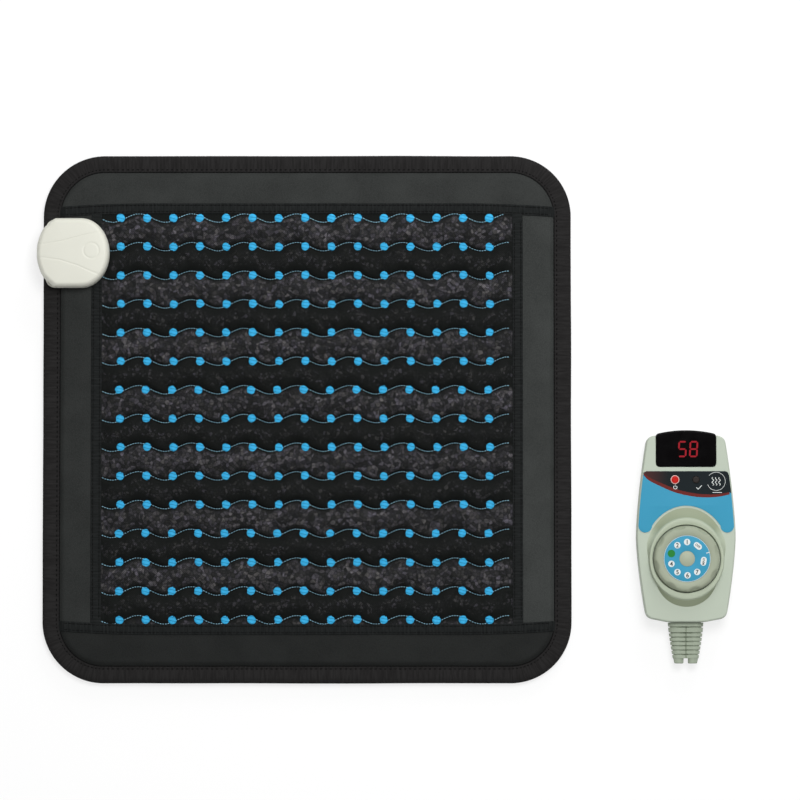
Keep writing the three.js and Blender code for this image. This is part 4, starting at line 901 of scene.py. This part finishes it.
def makeLeadCap():
    cap = {"low": 17.55, "dome": 23.0, "top": 30.9, "crown": 0.6, "edge": 4.2, "half": 29.5, "round": 23.7,
           "nose": -33.3, "groove": 0.3, "grooveHalf": 0.42, "ring": (13.5, 1.5, 6.5), "ringDeep": 0.22,
           "ringHalf": 0.7, "cord": 4.6}
    lines = (
        [(-36, 6.9), (-26, 7.1), (-12, 9.6), (2.7, 13.4), (14, 16.2), (27, 19.2)],
        [(-36, -4.3), (-26, -4.6), (-13, -6.4), (2, -11.2), (14, -16.6), (28, -21.8)],
    )
    right = [(domeX + cap["round"] * math.cos(a), cap["half"] * math.sin(a))
             for a in np.linspace(-math.pi / 2, math.pi / 2, 40)]
    nose = [(cap["nose"] + 5.8 * s * s, 21 * s) for s in np.linspace(1, -1, 24)]
    outline = even(right + [(-18, cap["half"])] + nose + [(-18, -cap["half"])], 220, 3)
    rings = [lift(inward(outline, 0.4), cap["low"]), lift(outline, cap["low"] + 0.4),
             lift(outline, cap["dome"])]
    rings += rounded(outline, cap["edge"], cap["dome"], cap["top"] - cap["crown"], 12)
    edge = rings[-1][:, :2]
    middle = edge.mean(0)
    for share in np.linspace(1, 0.012, 56)[1:]:
        rings.append(lift(middle + (edge - middle) * share, cap["top"] - cap["crown"] * share ** 3))
    points, faces = loft(rings)
    above = points[:, 2] > cap["low"] + 4
    for line in lines:
        path = resample(line, 300)
        gap = np.hypot(points[:, None, 0] - path[None, :, 0], points[:, None, 1] - path[None, :, 1]).min(1)
        points[:, 2] -= cap["groove"] * np.exp(-(gap / cap["grooveHalf"]) ** 2) * above
    ringX, ringY, radius = cap["ring"]
    away = np.hypot(points[:, 0] - ringX, points[:, 1] - ringY) - radius
    points[:, 2] -= cap["ringDeep"] * np.exp(-(away / cap["ringHalf"]) ** 2) * above
    hole, holeFaces = rod(cap["cord"], -4, 14, 40)
    hole = hole[:, ::-1] + (boxX - 36, boxY, 21.85)
    makePiece("lead_cap", (points + (boxX, boxY, 0), faces), "cream_plastic", ["box_cap"], sharp=42,
              cuts=[((hole, holeFaces), "DIFFERENCE")])


def makeLeadFittings():
    x0, x1 = glandLow[0] + 0.9, glandHigh[0]
    profile = [(3.2, x0 + 0.2), (3.7, x0), (4.25, x0 + 0.3), (4.3, x0 + 2.2), (3.9, x0 + 2.6),
               (4.3, x0 + 3.0), (4.3, x1), (3.2, x1)]
    rings = [ring[:, [2, 0, 1]] + (0, boxY, (glandLow[2] + glandHigh[2]) / 2) for ring in spun(profile, 40)]
    makePiece("lead_gland", hoop(rings), "black_part", ["cord_gland"], sharp=35)
    low, high = np.array(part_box("box_backing_plate")) / mm
    corners = even(rectangle(*low[:2], *high[:2]), 120, 6)
    makePiece("lead_plate", plate([corners], low[2], high[2], 0.5), "cream_plastic", ["box_backing_plate"])


def makeLeadBase():
    base = {"low": 14.45, "high": 17.25, "rest": 10.2, "above": 0.4, "left": -26.0, "half": 29.0,
            "corner": 8.0, "round": 22.9, "cutAt": 22.0}
    stop = math.acos((base["cutAt"] - domeX) / base["round"])
    outline = [(domeX + base["round"] * math.cos(a), base["half"] * math.sin(a))
               for a in [*np.linspace(-math.pi / 2, -stop, 20), *np.linspace(stop, math.pi / 2, 20)]]
    for turn, cy in ((90, 1), (180, -1)):
        outline += arc(base["corner"], turn, turn + 90, 12, base["left"] + base["corner"],
                       cy * (base["half"] - base["corner"])).tolist()
    outline = even(outline, 160)
    rings = []
    for depth, share in ((1.2, 0.0), (0.3, 0.15), (0.0, 0.4), (0.0, 0.85), (0.4, 1.0)):
        ring = inward(outline, depth) + (boxX, boxY)
        ground = borderHeight(inset(ring[:, 0], ring[:, 1])) + base["above"]
        ground = np.clip(ground, base["rest"], base["low"])
        rings.append(np.column_stack([ring, ground + (base["high"] - ground) * share]))
    makePiece("lead_base", loft(rings), "cream_plastic", ["box_base"])


makeLeadCap()
makeLeadFittings()
makeLeadBase()
print("stage: lead box made")


# The controller; everything here is drawn round the dial's axis.
axis = next(joint for joint in frame["joints"] if joint["name"] == "dial_turn")["pos_m"]
dialX, dialY = axis[0] / mm, axis[1] / mm
case = {"waist": 42.0, "waistY": 19.0, "high": 104.5, "low": -51.0, "drawHigh": 9.25, "drawLow": 8.4,
        "corner": 7.0, "lowEnd": -53.44, "lowFlat": 15.3, "highEnd": 105.66, "highFlat": 12.7,
        "height": 27.0, "split": 13.0, "seam": 0.15, "seamDeep": 0.35, "seamEdge": 0.55, "wall": 2.2,
        "lean": 1.6, "shoulder": 23.6, "edge": 1.4, "foot": 2.6, "footEdge": 2.2, "mouthHalf": 13.3,
        "mouthRise": 6.3, "shaftHole": 4.7}
window = {"half": 25.4, "low": 78.0, "corner": 3.0, "arch": 105.8, "archRise": 3.1, "gap": 0.3}
keyY = 67.0
keys = {"power": {"x": -9.4, "radius": 3.0, "hole": 4.0, "slot": "red_key"},
        "confirm": {"x": 8.4, "radius": 2.9, "hole": 3.2, "slot": "dark_key"}}


def atDial(form):
    points, faces = form
    return np.asarray(points, float) + (dialX, dialY, 0), faces


def dialPiece(name, form, finish, nodes=(), cuts=(), **ways):
    makePiece(name, atDial(form), finish, nodes, cuts=[(atDial(cut), way) for cut, way in cuts], **ways)


def dialPlace(paint):  # millimetres across and along from the dial's axis
    x, y, _ = paint.split(paint.place())
    return x / mm - dialX, y / mm - dialY


def mirrored(right):  # an outline whose left half mirrors its right half
    return right + [(-x, y) for x, y in right[::-1]]


def halfWidth(y):
    up = np.clip((y - case["waistY"]) / (case["high"] - case["waistY"]), 0, None) ** 1.5
    down = np.clip((y - case["waistY"]) / (case["low"] - case["waistY"]), 0, None) ** 1.5
    return float(case["waist"] - case["drawHigh"] * up - case["drawLow"] * down)


def caseOutline():
    lowY, highY = case["low"] + case["corner"], case["high"] - case["corner"]
    right = [(case["lowFlat"], case["lowEnd"])]
    right += arc(case["corner"], -90, -4, 14, halfWidth(lowY) - case["corner"], lowY).tolist()
    right += [(halfWidth(y), y) for y in np.linspace(lowY, highY, 60)]
    right += arc(case["corner"], 4, 90, 14, halfWidth(highY) - case["corner"], highY).tolist()
    return even(mirrored(right + [(case["highFlat"], case["highEnd"])]), 260, 1)


def windowOutline(margin):
    half, low, radius = window["half"] + margin, window["low"] - margin, window["corner"] + margin
    corner = arc(radius, -90, 0, 8, half - radius, low + radius).tolist()
    arch = [(half * s, window["arch"] + margin + window["archRise"] * (1 - s * s))
            for s in np.linspace(1, -1, 41)]
    return np.array(corner + arch + [(-x, y) for x, y in corner[::-1]])


def makeCase():
    outline = caseOutline()
    inner, lip = inward(outline, case["wall"]), inward(outline, case["seamDeep"])
    split, seam, top = case["split"], case["seam"], case["height"]
    rings = [lift(inner, top - case["wall"]), lift(inner, split + seam), lift(lip, split + seam),
             lift(outline, split + case["seamEdge"]), lift(outline, 19), lift(outline, case["shoulder"])]
    rings += rounded(outline, case["edge"], case["shoulder"], top, 8)
    rings += [lift(inward(outline, 1.7), top), lift(inward(outline, 3.4), top)]
    opening = rectangle(-case["mouthHalf"], case["lowEnd"] - 2, case["mouthHalf"], case["lowEnd"] + 3)
    mouth = prism(opening, split - case["mouthRise"], split + case["mouthRise"])
    cuts = [prism(windowOutline(window["gap"]), 5, 45), mouth]
    cuts += [rod(key["hole"], 20, 40, 40, key["x"], keyY) for key in keys.values()]
    cuts.append(rod(case["shaftHole"], 20, 40, 40))
    cuts = [(cut, "DIFFERENCE") for cut in cuts]
    dialPiece("case_upper", loft(rings), "pale_plastic", ["upper_case"], cuts, sharp=32)
    foot = outline * (1 - case["lean"] / case["waist"], 1)
    rings = [lift(inward(foot, case["wall"]), case["wall"]), lift(inner, split - seam),
             lift(lip, split - seam), lift(outline, split - case["seamEdge"]), lift(foot, case["foot"])]
    rings += rounded(foot, case["footEdge"], case["foot"], 0, 6)
    rings.append(lift(inward(foot, 3.2), 0))
    bolts = []
    for number in range(1, 5):
        low, high = np.array(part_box("case_screw_%d" % number)) / mm
        x, y = (low[0] + high[0]) / 2 - dialX, (low[1] + high[1]) / 2 - dialY
        bolts.append((number, x, y, low[2], (high[0] - low[0]) / 2))
    holes = [rod(radius + 0.3, -1, 2.1, 36, x, y) for _, x, y, _, radius in bolts]
    cuts = [(cut, "DIFFERENCE") for cut in [mouth, *holes]]
    dialPiece("case_lower", loft(rings), "pale_plastic", ["lower_case"], cuts, sharp=32)
    for bolt in bolts:
        makeBolt(*bolt)


def makeBolt(number, x, y, low, radius):  # domed head below, with a crossed slot
    bolt = {"head": 1.7, "shank": 1.4, "end": 23.0, "slotLong": 0.62, "slotWide": 0.16, "slotDeep": 0.8}
    high = low + bolt["head"]
    head = [(0, high), (radius, high), (radius, low + 0.35 * radius), (0.8 * radius, low), (0, low)]
    shank = [(0, high - 0.1), (bolt["shank"], high - 0.1), (bolt["shank"], bolt["end"] - 1),
             (0.4, bolt["end"]), (0, bolt["end"])]
    cuts = [(lathe(shank, 24, x, y), "UNION")]
    for wide, deep in ((bolt["slotLong"], bolt["slotWide"]), (bolt["slotWide"], bolt["slotLong"])):
        slot = rectangle(x - wide * radius, y - deep * radius, x + wide * radius, y + deep * radius)
        cuts.append((prism(slot, low - 1, low + bolt["slotDeep"]), "DIFFERENCE"))
    dialPiece("case_bolt_%d" % number, lathe(head, 32, x, y), "steel", ["case_screw_%d" % number], cuts,
              sharp=35)


def makeCollar():
    collar = {"inner": 28.8, "outAcross": 31.4, "outAlong": 34.4, "top": 33.6, "shoulder": 32.3,
              "low": 26.9, "foot": 0.2, "moundAcross": 35.0, "moundAlong": 43.3, "scoopDrop": 14.3,
              "scoopRadius": 26.1, "hollow": 0.85}
    crest = [(0.06, 0.3), (0.16, 0.06), (0.3, 0), (0.5, 0.05), (0.8, 0.3), (0.95, 0.55), (1, 0.9)]
    angles = fullTurn(180)
    cos, sin = np.cos(angles), np.sin(angles)

    def oval(across, along):
        return 1 / np.sqrt((cos / across) ** 2 + (sin / along) ** 2)

    def paintedShade(paint):  # painted shade: darker on the mound's slopes above and below, paler on the crest and at the sides
        x, y = dialPlace(paint)
        outside = (x * x / collar["outAcross"] ** 2 + y * y / collar["outAlong"] ** 2).ramp(1.0, 1.06)
        slope = outside * (y * y / (x * x + y * y)).ramp(0.25, 0.6)
        return paint.blend(slope, tint(178, 188, 167), tint(148, 157, 132))

    rim = oval(collar["outAcross"], collar["outAlong"])
    upper = oval(collar["moundAcross"], collar["moundAlong"])
    under = np.sqrt(np.maximum(collar["scoopRadius"] ** 2 - (collar["scoopDrop"] * cos) ** 2, 0))
    lower = np.maximum(rim + 0.6, under - collar["scoopDrop"] * sin)
    turn = ease((sin + 0.05) / 0.5)
    foot = lower + (upper - lower) * turn
    start = collar["low"] + collar["foot"]
    rings = [(rim - 1.6, collar["low"]), (foot, collar["low"]), (foot, start)]
    for share in np.linspace(0, 1, 8)[1:]:
        bent = share + collar["hollow"] * turn * (share ** 2 - share)
        rings.append((foot + (rim - foot) * share, start + (collar["shoulder"] - start) * bent))
    rings += [(rim + (collar["inner"] - rim) * share, collar["top"] - drop) for share, drop in crest]
    rings.append((rings[-1][0], collar["low"]))
    form = hoop([np.column_stack([r * cos, r * sin, 0 * r + z]) for r, z in rings])
    paint = moulded("collar plastic", paintedShade, 0.5, 0.6, 0.008, gloss=0.25)
    dialPiece("dial_collar", form, paint, ["upper_case"], slot="pale_plastic", sharp=32)


def makeWindow():
    lens = {"low": 16.8, "inside": 26.0, "shoulder": 26.8, "top": 27.8, "wall": 1.8, "edge": 0.9}
    outline = even(windowOutline(0), 200, 3)
    inner = inward(outline, lens["wall"])
    rings = [lift(inner, lens["inside"]), lift(inner, lens["low"]), lift(outline, lens["low"]),
             lift(outline, lens["shoulder"])]
    rings += rounded(outline, lens["edge"], lens["shoulder"], lens["top"], 5)
    rings.append(lift(inward(outline, 1.3), lens["top"]))
    dialPiece("display_lens", loft(rings), "smoked_lens", ["display_window"], sharp=35)
    digit = {"half": 2.95, "rise": 6.2, "width": 1.4, "gap": 0.22, "lean": 0.05, "middle": 92.9,
             "low": 27.7, "high": 27.86}
    ends = {"a": (-1, 1, 1, 1), "b": (1, 1, 1, 0), "c": (1, 0, 1, -1), "d": (-1, -1, 1, -1),
            "e": (-1, 0, -1, -1), "f": (-1, 1, -1, 0), "g": (-1, 0, 1, 0)}
    lit, unlit = [], []
    for centre, on in ((-3.1, "acdfg"), (6.4, "abcdefg")):
        for letter, (x0, y0, x1, y1) in ends.items():
            start = np.array([x0 * digit["half"], y0 * digit["rise"]])
            end = np.array([x1 * digit["half"], y1 * digit["rise"]])
            run = (end - start) / np.linalg.norm(end - start)
            start, end = start + run * digit["gap"], end - run * digit["gap"]
            side = np.array([-run[1], run[0]]) * digit["width"] / 2
            tip = run * digit["width"] / 2
            shape = np.array([start, start + tip - side, end - tip - side,
                              end, end - tip + side, start + tip + side])
            shape[:, 0] += shape[:, 1] * digit["lean"] + centre
            shape[:, 1] += digit["middle"]
            (lit if letter in on else unlit).append(plate([shape], digit["low"], digit["high"]))
    dialPiece("lit_digits", gather(lit), litSegment)
    dialPiece("unlit_digits", gather(unlit), unlitSegment)


def bandFilm():  # dark film that turns warm towards its left tip
    paint = Paint("dark band")
    warm = 1 - dialPlace(paint)[0].ramp(-37, -12)
    fine = paint.noise(0.6, 3.0)
    dark = paint.blend(fine, tint(27, 33, 36), tint(32, 39, 42))
    paint.looks(colour=paint.blend(0.65 * warm, dark, tint(88, 50, 48)), roughness=0.32 + 0.08 * fine,
                gloss=0.02)
    paint.bump(fine, 0.004)
    return paint


def makeFace():
    label = {"low": 27.05, "high": 27.5, "top": 74.2, "inset": 1.3, "corner": 3.0, "lobeY": 28.0,
             "archX": 37.0, "archY": 45.0, "print": 0.07}
    curve = [(-36.2, 71.4), (-34.6, 69.2), (-32.9, 67.2), (-28.5, 64.6), (-23.2, 62.1), (-16.5, 59.0),
             (-10.2, 56.4), (-3.5, 54.5), (3.8, 53.1), (9.5, 52.3), (14.7, 52.0), (21.0, 52.0),
             (28.1, 52.6), (33.5, 53.7), (37.0, 54.8)]

    def sideAt(y):
        return halfWidth(y) - label["inset"]

    cornerY = label["top"] - label["corner"]
    corner = arc(label["corner"], 0, 90, 8, sideAt(label["top"]) - label["corner"], cornerY).tolist()
    lobeAngle = math.asin(label["lobeY"] / label["archY"])
    lobeInner = label["archX"] * math.cos(lobeAngle)
    lobe = (sideAt(label["lobeY"]) - lobeInner) / 2
    right = arc(lobe, -180, 0, 20, lobeInner + lobe, label["lobeY"]).tolist()
    right += [(sideAt(y), y) for y in np.linspace(label["lobeY"], cornerY, 40)[1:]] + corner
    arch = [(label["archX"] * math.cos(a), label["archY"] * math.sin(a))
            for a in np.linspace(math.pi - lobeAngle, lobeAngle, 60)[1:-1]]
    holes = [circle(key["hole"], 40, key["x"], keyY) for key in keys.values()]
    film = plate([mirrored(right) + arch, *holes], label["low"], label["high"], 0.08)
    dialPiece("face_film", film, "label_film", ["face_label"])
    lower = resample(curve, 90)
    for _ in range(12):
        lower[1:-1] = 0.5 * lower[1:-1] + 0.25 * (lower[:-2] + lower[2:])
    width = np.interp(np.linspace(0, 1, 90), [0, 0.1, 0.4, 0.75, 1], [0.8, 2.2, 3.0, 2.6, 1.8])
    upper = lower + leftOf(np.gradient(lower, axis=0)) * width[:, None]
    ground = label["high"] - 0.1
    stripe = np.concatenate([lower, upper[::-1]])
    dialPiece("face_stripe", plate([stripe], ground, label["high"] + 0.05), stripeFilm)
    crest = [(sideAt(y), y) for y in np.linspace(55.5, cornerY, 20)] + corner
    crest += [(-sideAt(label["top"]) + 2.2, label["top"]), (-36.6, 72.6)]
    band = np.concatenate([upper, crest])
    dialPiece("face_band", plate([band, *holes], ground, label["high"] + label["print"]), bandFilm())
    top = label["high"] + 0.04
    prints = [stroke(arc(1.5, 130, 410, 30, -9.2, 60.6), 0.45), stroke([(-9.2, 60.9), (-9.2, 62.8)], 0.45),
              stroke([(8.6, 60.5), (10.2, 58.9), (13.2, 62.2)], 0.6),
              stroke(arc(7.7, 200, 500, 80, 25.4, 65.6), 0.32), stroke([(22.4, 56.2), (30.2, 56.2)], 0.5)]
    for x in (22.6, 25.4, 28.2):
        prints.append(stroke([(x + 0.7 * math.sin(t * 2), 62.2 + t * 1.1)
                              for t in np.linspace(0, 6.2, 40)], 0.5))
    prints = [plate([shape], top, top + label["print"]) for shape in prints]
    dialPiece("face_prints", gather(prints), printFilm)


def makeKeys():
    stem = {"radius": 2.0, "high": 24.2}
    for name, key in keys.items():
        low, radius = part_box(name + "_button")[0][2] / mm, key["radius"]
        profile = [(0, low), (stem["radius"], low), (stem["radius"], stem["high"]), (radius, stem["high"]),
                   (radius, 27.9), (radius * 0.93, 28.15), (radius * 0.75, 28.28), (radius * 0.4, 28.22),
                   (0, 28.2)]
        dialPiece(name + "_cap", lathe(profile, 56, key["x"], keyY), key["slot"], [name + "_button"],
                  body=name + "_key", sharp=35)
    profile = [(3.02, 25.2), (3.7, 25.2), (3.7, 27.75), (3.55, 27.95), (3.2, 27.98), (3.02, 27.85)]
    rim = hoop(spun(profile, 56, keys["power"]["x"], keyY))
    dialPiece("power_rim", rim, ringPlastic, body="power_key", sharp=35)


def makeKnob():
    low, high = np.array(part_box("dial_knob")) / mm
    reach = (high[0] - low[0]) / 2
    knob = {"sides": 240, "scoops": 8, "scoopTurn": 14.0, "scoopDeep": 1.7}
    inside = [(0.01, 36.6), (3.2, 36.6), (3.2, 30.4), (6.2, 30.4), (6.2, 36.0), (reach - 4.4, 36.0),
              (reach - 2.8, 34.0), (reach - 2.2, 27.3), (reach - 0.1, 27.3), (reach, 27.6), (reach, 33.4)]
    rim = [(0.05, 34.6, 0.25), (0.2, 35.8, 0.6), (0.5, 37.0, 0.9), (1.0, 38.0, 1.0), (1.7, 38.65, 1.0),
           (2.5, 38.95, 0.85), (3.4, 39.0, 0.35)]  # depth, height and how far the scoops cut in
    face = [(reach - 4.4, 39.0), (20.1, 39.0), (19.95, 38.9), (19.95, 38.4), (6.4, 38.4), (6.4, 38.9),
            (6.25, 39.0), (0.01, 39.0)]
    profile = [(*spot, 0) for spot in inside] + [(reach - depth, z, share) for depth, z, share in rim]
    profile += [(*spot, 0) for spot in face]
    angles = fullTurn(knob["sides"])
    scoop = np.maximum(0, np.cos(knob["scoops"] * (angles - math.radians(knob["scoopTurn"])))) ** 0.8
    rings = []
    for radius, z, share in profile:
        edge = radius - knob["scoopDeep"] * share * scoop
        rings.append(lift(np.column_stack([edge * np.cos(angles), edge * np.sin(angles)]), z))

    def paintedShade(paint):  # painted shade: a little darker towards the rim
        x, y = dialPlace(paint)
        return paint.blend(((x * x + y * y) ** 0.5).ramp(12, reach), tint(165, 173, 151), tint(153, 161, 140))

    paint = moulded("warm plastic", paintedShade, 0.48, 0.6, 0.008)
    dialPiece("dial_grip", loft(rings), paint, ["dial_knob"], slot="pale_plastic", body="dial", sharp=38)


def makeScale():
    scale = {"radius": 14.0, "low": 38.9, "top": 39.0, "ink": 38.98, "disc": 2.7, "number": 5.0,
             "word": 2.7, "pill": 2.4, "pillHalf": 1.35, "tick": 16, "green": 162, "greenDisc": 3.2}
    film = [(6.6, 38.45), (19.7, 38.45), (19.7, 38.9), (19.6, 38.95), (6.7, 38.95), (6.6, 38.9)]
    dialPiece("scale_film", hoop(spun(film, 120)), "label_film", ["dial_scale"], body="dial")
    white, ink = [], []
    for number, turn in (("1", 90), ("2", 126), ("4", 198), ("5", 234), ("6", 271), ("7", 307)):
        x, y = polar(scale["radius"], turn)
        white.append([circle(scale["disc"], 40, x, y)])
        ink.append(lettering(number, scale["number"], x, y, scale["ink"]))
    pill = np.concatenate([arc(scale["pill"], start, start + 180, 20, 0, y)
                           for y, start in ((-scale["pillHalf"], 180), (scale["pillHalf"], 0))])
    for word, turn in (("MAX", 351), ("OFF", 50)):
        x, y = polar(scale["radius"], turn)
        white.append([turned(pill, math.radians(turn)) + (x, y)])
        facing = math.radians(turn - 90 if turn < 90 else turn - 270)
        ink.append(lettering(word, scale["word"], x, y, scale["ink"], facing, 0.014))
    white.append([stroke([polar(16.8, scale["tick"]), polar(19.3, scale["tick"])], 0.7)])
    discs = [plate(outlines, scale["low"], scale["top"]) for outlines in white]
    discs.append(plate([circle(19.6, 120), circle(19.3, 120)], scale["low"], scale["top"] - 0.015))
    dialPiece("scale_discs", gather(discs), printFilm, body="dial")
    dialPiece("scale_numbers", gather(ink), inkFilm, body="dial")
    dot = circle(scale["greenDisc"], 40, *polar(scale["radius"], scale["green"]))
    dialPiece("scale_green_dot", plate([dot], scale["low"], scale["top"]), greenFilm, body="dial")


def makeBoot():
    boot = {"length": 34.8, "rootHalf": 7.7, "tipHalf": 5.75, "root": 7.4, "tip": 4.3, "tipEdge": 1.2,
            "tipIn": 1.65, "fork": 30.2, "valley": 0.74, "firstValley": 0.95, "firstGroove": 3.8,
            "grooveFrom": 8.7, "groovePitch": 3.66, "grooves": 6, "depth": 2.0, "valleyDepth": 1.9,
            "grooveHalf": 0.4, "bore": 3.2, "boreSpread": 5.85, "crease": 1.1, "creaseHalf": 0.5,
            "neck": (12.9, 5.9)}
    start, middle = case["lowEnd"] - 0.25, case["split"]
    angles = fullTurn(128)
    cos, sin = np.abs(np.cos(angles)), np.abs(np.sin(angles))
    grooves = [boot["grooveFrom"] + boot["groovePitch"] * i for i in range(boot["grooves"])]
    grooves = [boot["firstGroove"], *grooves]
    places = {0.0, boot["fork"]} | {groove + sign * step for groove in grooves for sign in (-1, 1)
                                    for step in (0.27, 0.4, 0.51, 0.64, 1.0)}

    def girth(at):  # half the spread of the lobes, their radius and how deep a groove cuts in
        share = np.clip(at / boot["length"], 0, 1)
        half = boot["rootHalf"] + (boot["tipHalf"] - boot["rootHalf"]) * share ** 1.5
        dip = sum(math.exp(-((at - groove) / boot["grooveHalf"]) ** 4) for groove in grooves)
        dip = dip * (1 - 0.4 * share)
        return half, boot["root"] + (boot["tip"] - boot["root"]) * share ** 1.25 - boot["depth"] * dip, dip

    def across(reach, at, turn=angles, x=0.0):
        return np.column_stack([x + reach * np.cos(turn), np.full(len(turn), start - at),
                                middle + reach * np.sin(turn)])

    def ring(at):
        half, radius, dip = girth(at)
        inside = radius ** 2 - (half * sin) ** 2
        lobe = np.where(inside > 0, half * cos + np.sqrt(np.maximum(inside, 0)), 0)
        valley = boot["firstValley"] if at < boot["grooveFrom"] else boot["valley"]
        deep = radius * valley - boot["valleyDepth"] * dip
        web = deep / np.maximum(sin - (radius - deep) / half * cos, 1e-3)
        reach = np.maximum(lobe, np.minimum(web, half / np.maximum(cos, 1e-3)))
        if at > boot["firstGroove"]:
            reach = reach - boot["crease"] * np.exp(-(reach * cos / boot["creaseHalf"]) ** 2)
        return across(reach, at)

    neck = ((cos / boot["neck"][0]) ** 6 + (sin / boot["neck"][1]) ** 6) ** (-1 / 6)
    rings = [across(neck, -3.5), across(neck, -0.02)]
    body = loft(rings + [ring(at) for at in sorted(places) if at <= boot["fork"]])
    turn = fullTurn(48)
    tips, bores = [], []
    for side in (-1, 1):
        tip = []
        for at in np.linspace(boot["fork"] - 2.0, boot["length"], 22):
            half, radius, _ = girth(at)
            close = max(0.0, at - boot["length"] + boot["tipEdge"])
            reach = radius - boot["tipIn"] + math.sqrt(boot["tipEdge"] ** 2 - close ** 2)
            tip.append(across(reach, at, turn, side * half))
        tips.append((loft(tip), "UNION"))
        bore = [across(boot["bore"], at, turn, side * boot["boreSpread"]) for at in (-6, boot["length"] + 3)]
        bores.append((loft(bore), "DIFFERENCE"))
    dialPiece("twin_boot", body, "boot_rubber", ["cable_boot"], tips + bores, sharp=38)


makeCase()
makeCollar()
makeWindow()
makeFace()
makeKeys()
makeKnob()
makeScale()
makeBoot()
print("stage: controller made")


# Stage: floor, light and camera.
def whiteTo(paint, kind, strength, share, output):  # white to the camera, in gloss and through glass
    rays = paint.node("ShaderNodeLightPath", {}, {}).socket.node
    straight, glossy, through = [Wire(paint, rays.outputs["Is %s Ray" % ray])
                                 for ray in ("Camera", "Glossy", "Transmission")]
    white = paint.node(kind, {}, {"Color": (1, 1, 1, 1), "Strength": strength})
    plain = Wire(paint, paint.shader.outputs[0])
    seen = share * (straight + glossy + through)
    both = paint.node("ShaderNodeMixShader", {}, {0: seen, 1: plain, 2: white})
    paint.fill(paint.tree.nodes[output], {0: both})


def aimed(name, data, place, aim):
    holder = put(name, data)
    holder.location = place
    holder.rotation_euler = (Vector(aim) - Vector(place)).to_track_quat("-Z", "Y").to_euler()
    return holder


def makeStage():
    ground = {"half": 4.0, "height": -0.0004, "white": 1.08, "share": 0.7}
    lamps = {"key light": ((0.4, 0.55, 2.05), 27.5), "side light": ((0.6, 1.7, 0.9), 10)}  # place and power
    shot = {"aim": (0.0790, 0.0159, 0.010), "distance": 4.0, "tilt": 3.0, "lens": 211.7, "sensor": 36}
    floorPaint = Paint("floor")
    floorPaint.looks(colour=(0.9, 0.9, 0.9, 1.0), roughness=0.9, gloss=0.0)
    whiteTo(floorPaint, "ShaderNodeEmission", ground["white"], ground["share"], "Material Output")
    half = ground["half"]
    mesh = bpy.data.meshes.new("floor")
    corners = lift(rectangle(-half, -half, half, half), ground["height"])
    mesh.from_pydata(corners.tolist(), [], [(0, 1, 2, 3)])
    mesh.materials.append(floorPaint.material)
    floor = put("floor", mesh)
    for name, (place, power) in lamps.items():
        light = bpy.data.lights.new(name, "AREA")
        light.shape = "DISK"
        light.size = 0.9
        light.energy = power
        aimed(name, light, place, (0.08, 0, 0))
    sky = Paint("studio", bpy.data.worlds.new("studio"), "Background")
    sky.fill(sky.shader, {"Color": (1, 1, 1, 1), "Strength": 0.36})
    whiteTo(sky, "ShaderNodeBackground", 1.0, 1.0, "World Output")
    scene.world = sky.material
    scene.view_settings.view_transform = "Standard"
    camera = bpy.data.cameras.new("photo camera")
    camera.lens = shot["lens"]
    camera.sensor_width = shot["sensor"]
    aim, tilt = Vector(shot["aim"]), math.radians(shot["tilt"])
    place = aim + shot["distance"] * Vector((0, -math.sin(tilt), math.cos(tilt)))
    scene.camera = aimed("photo camera", camera, place, aim)


makeStage()
print("stage: stage made")
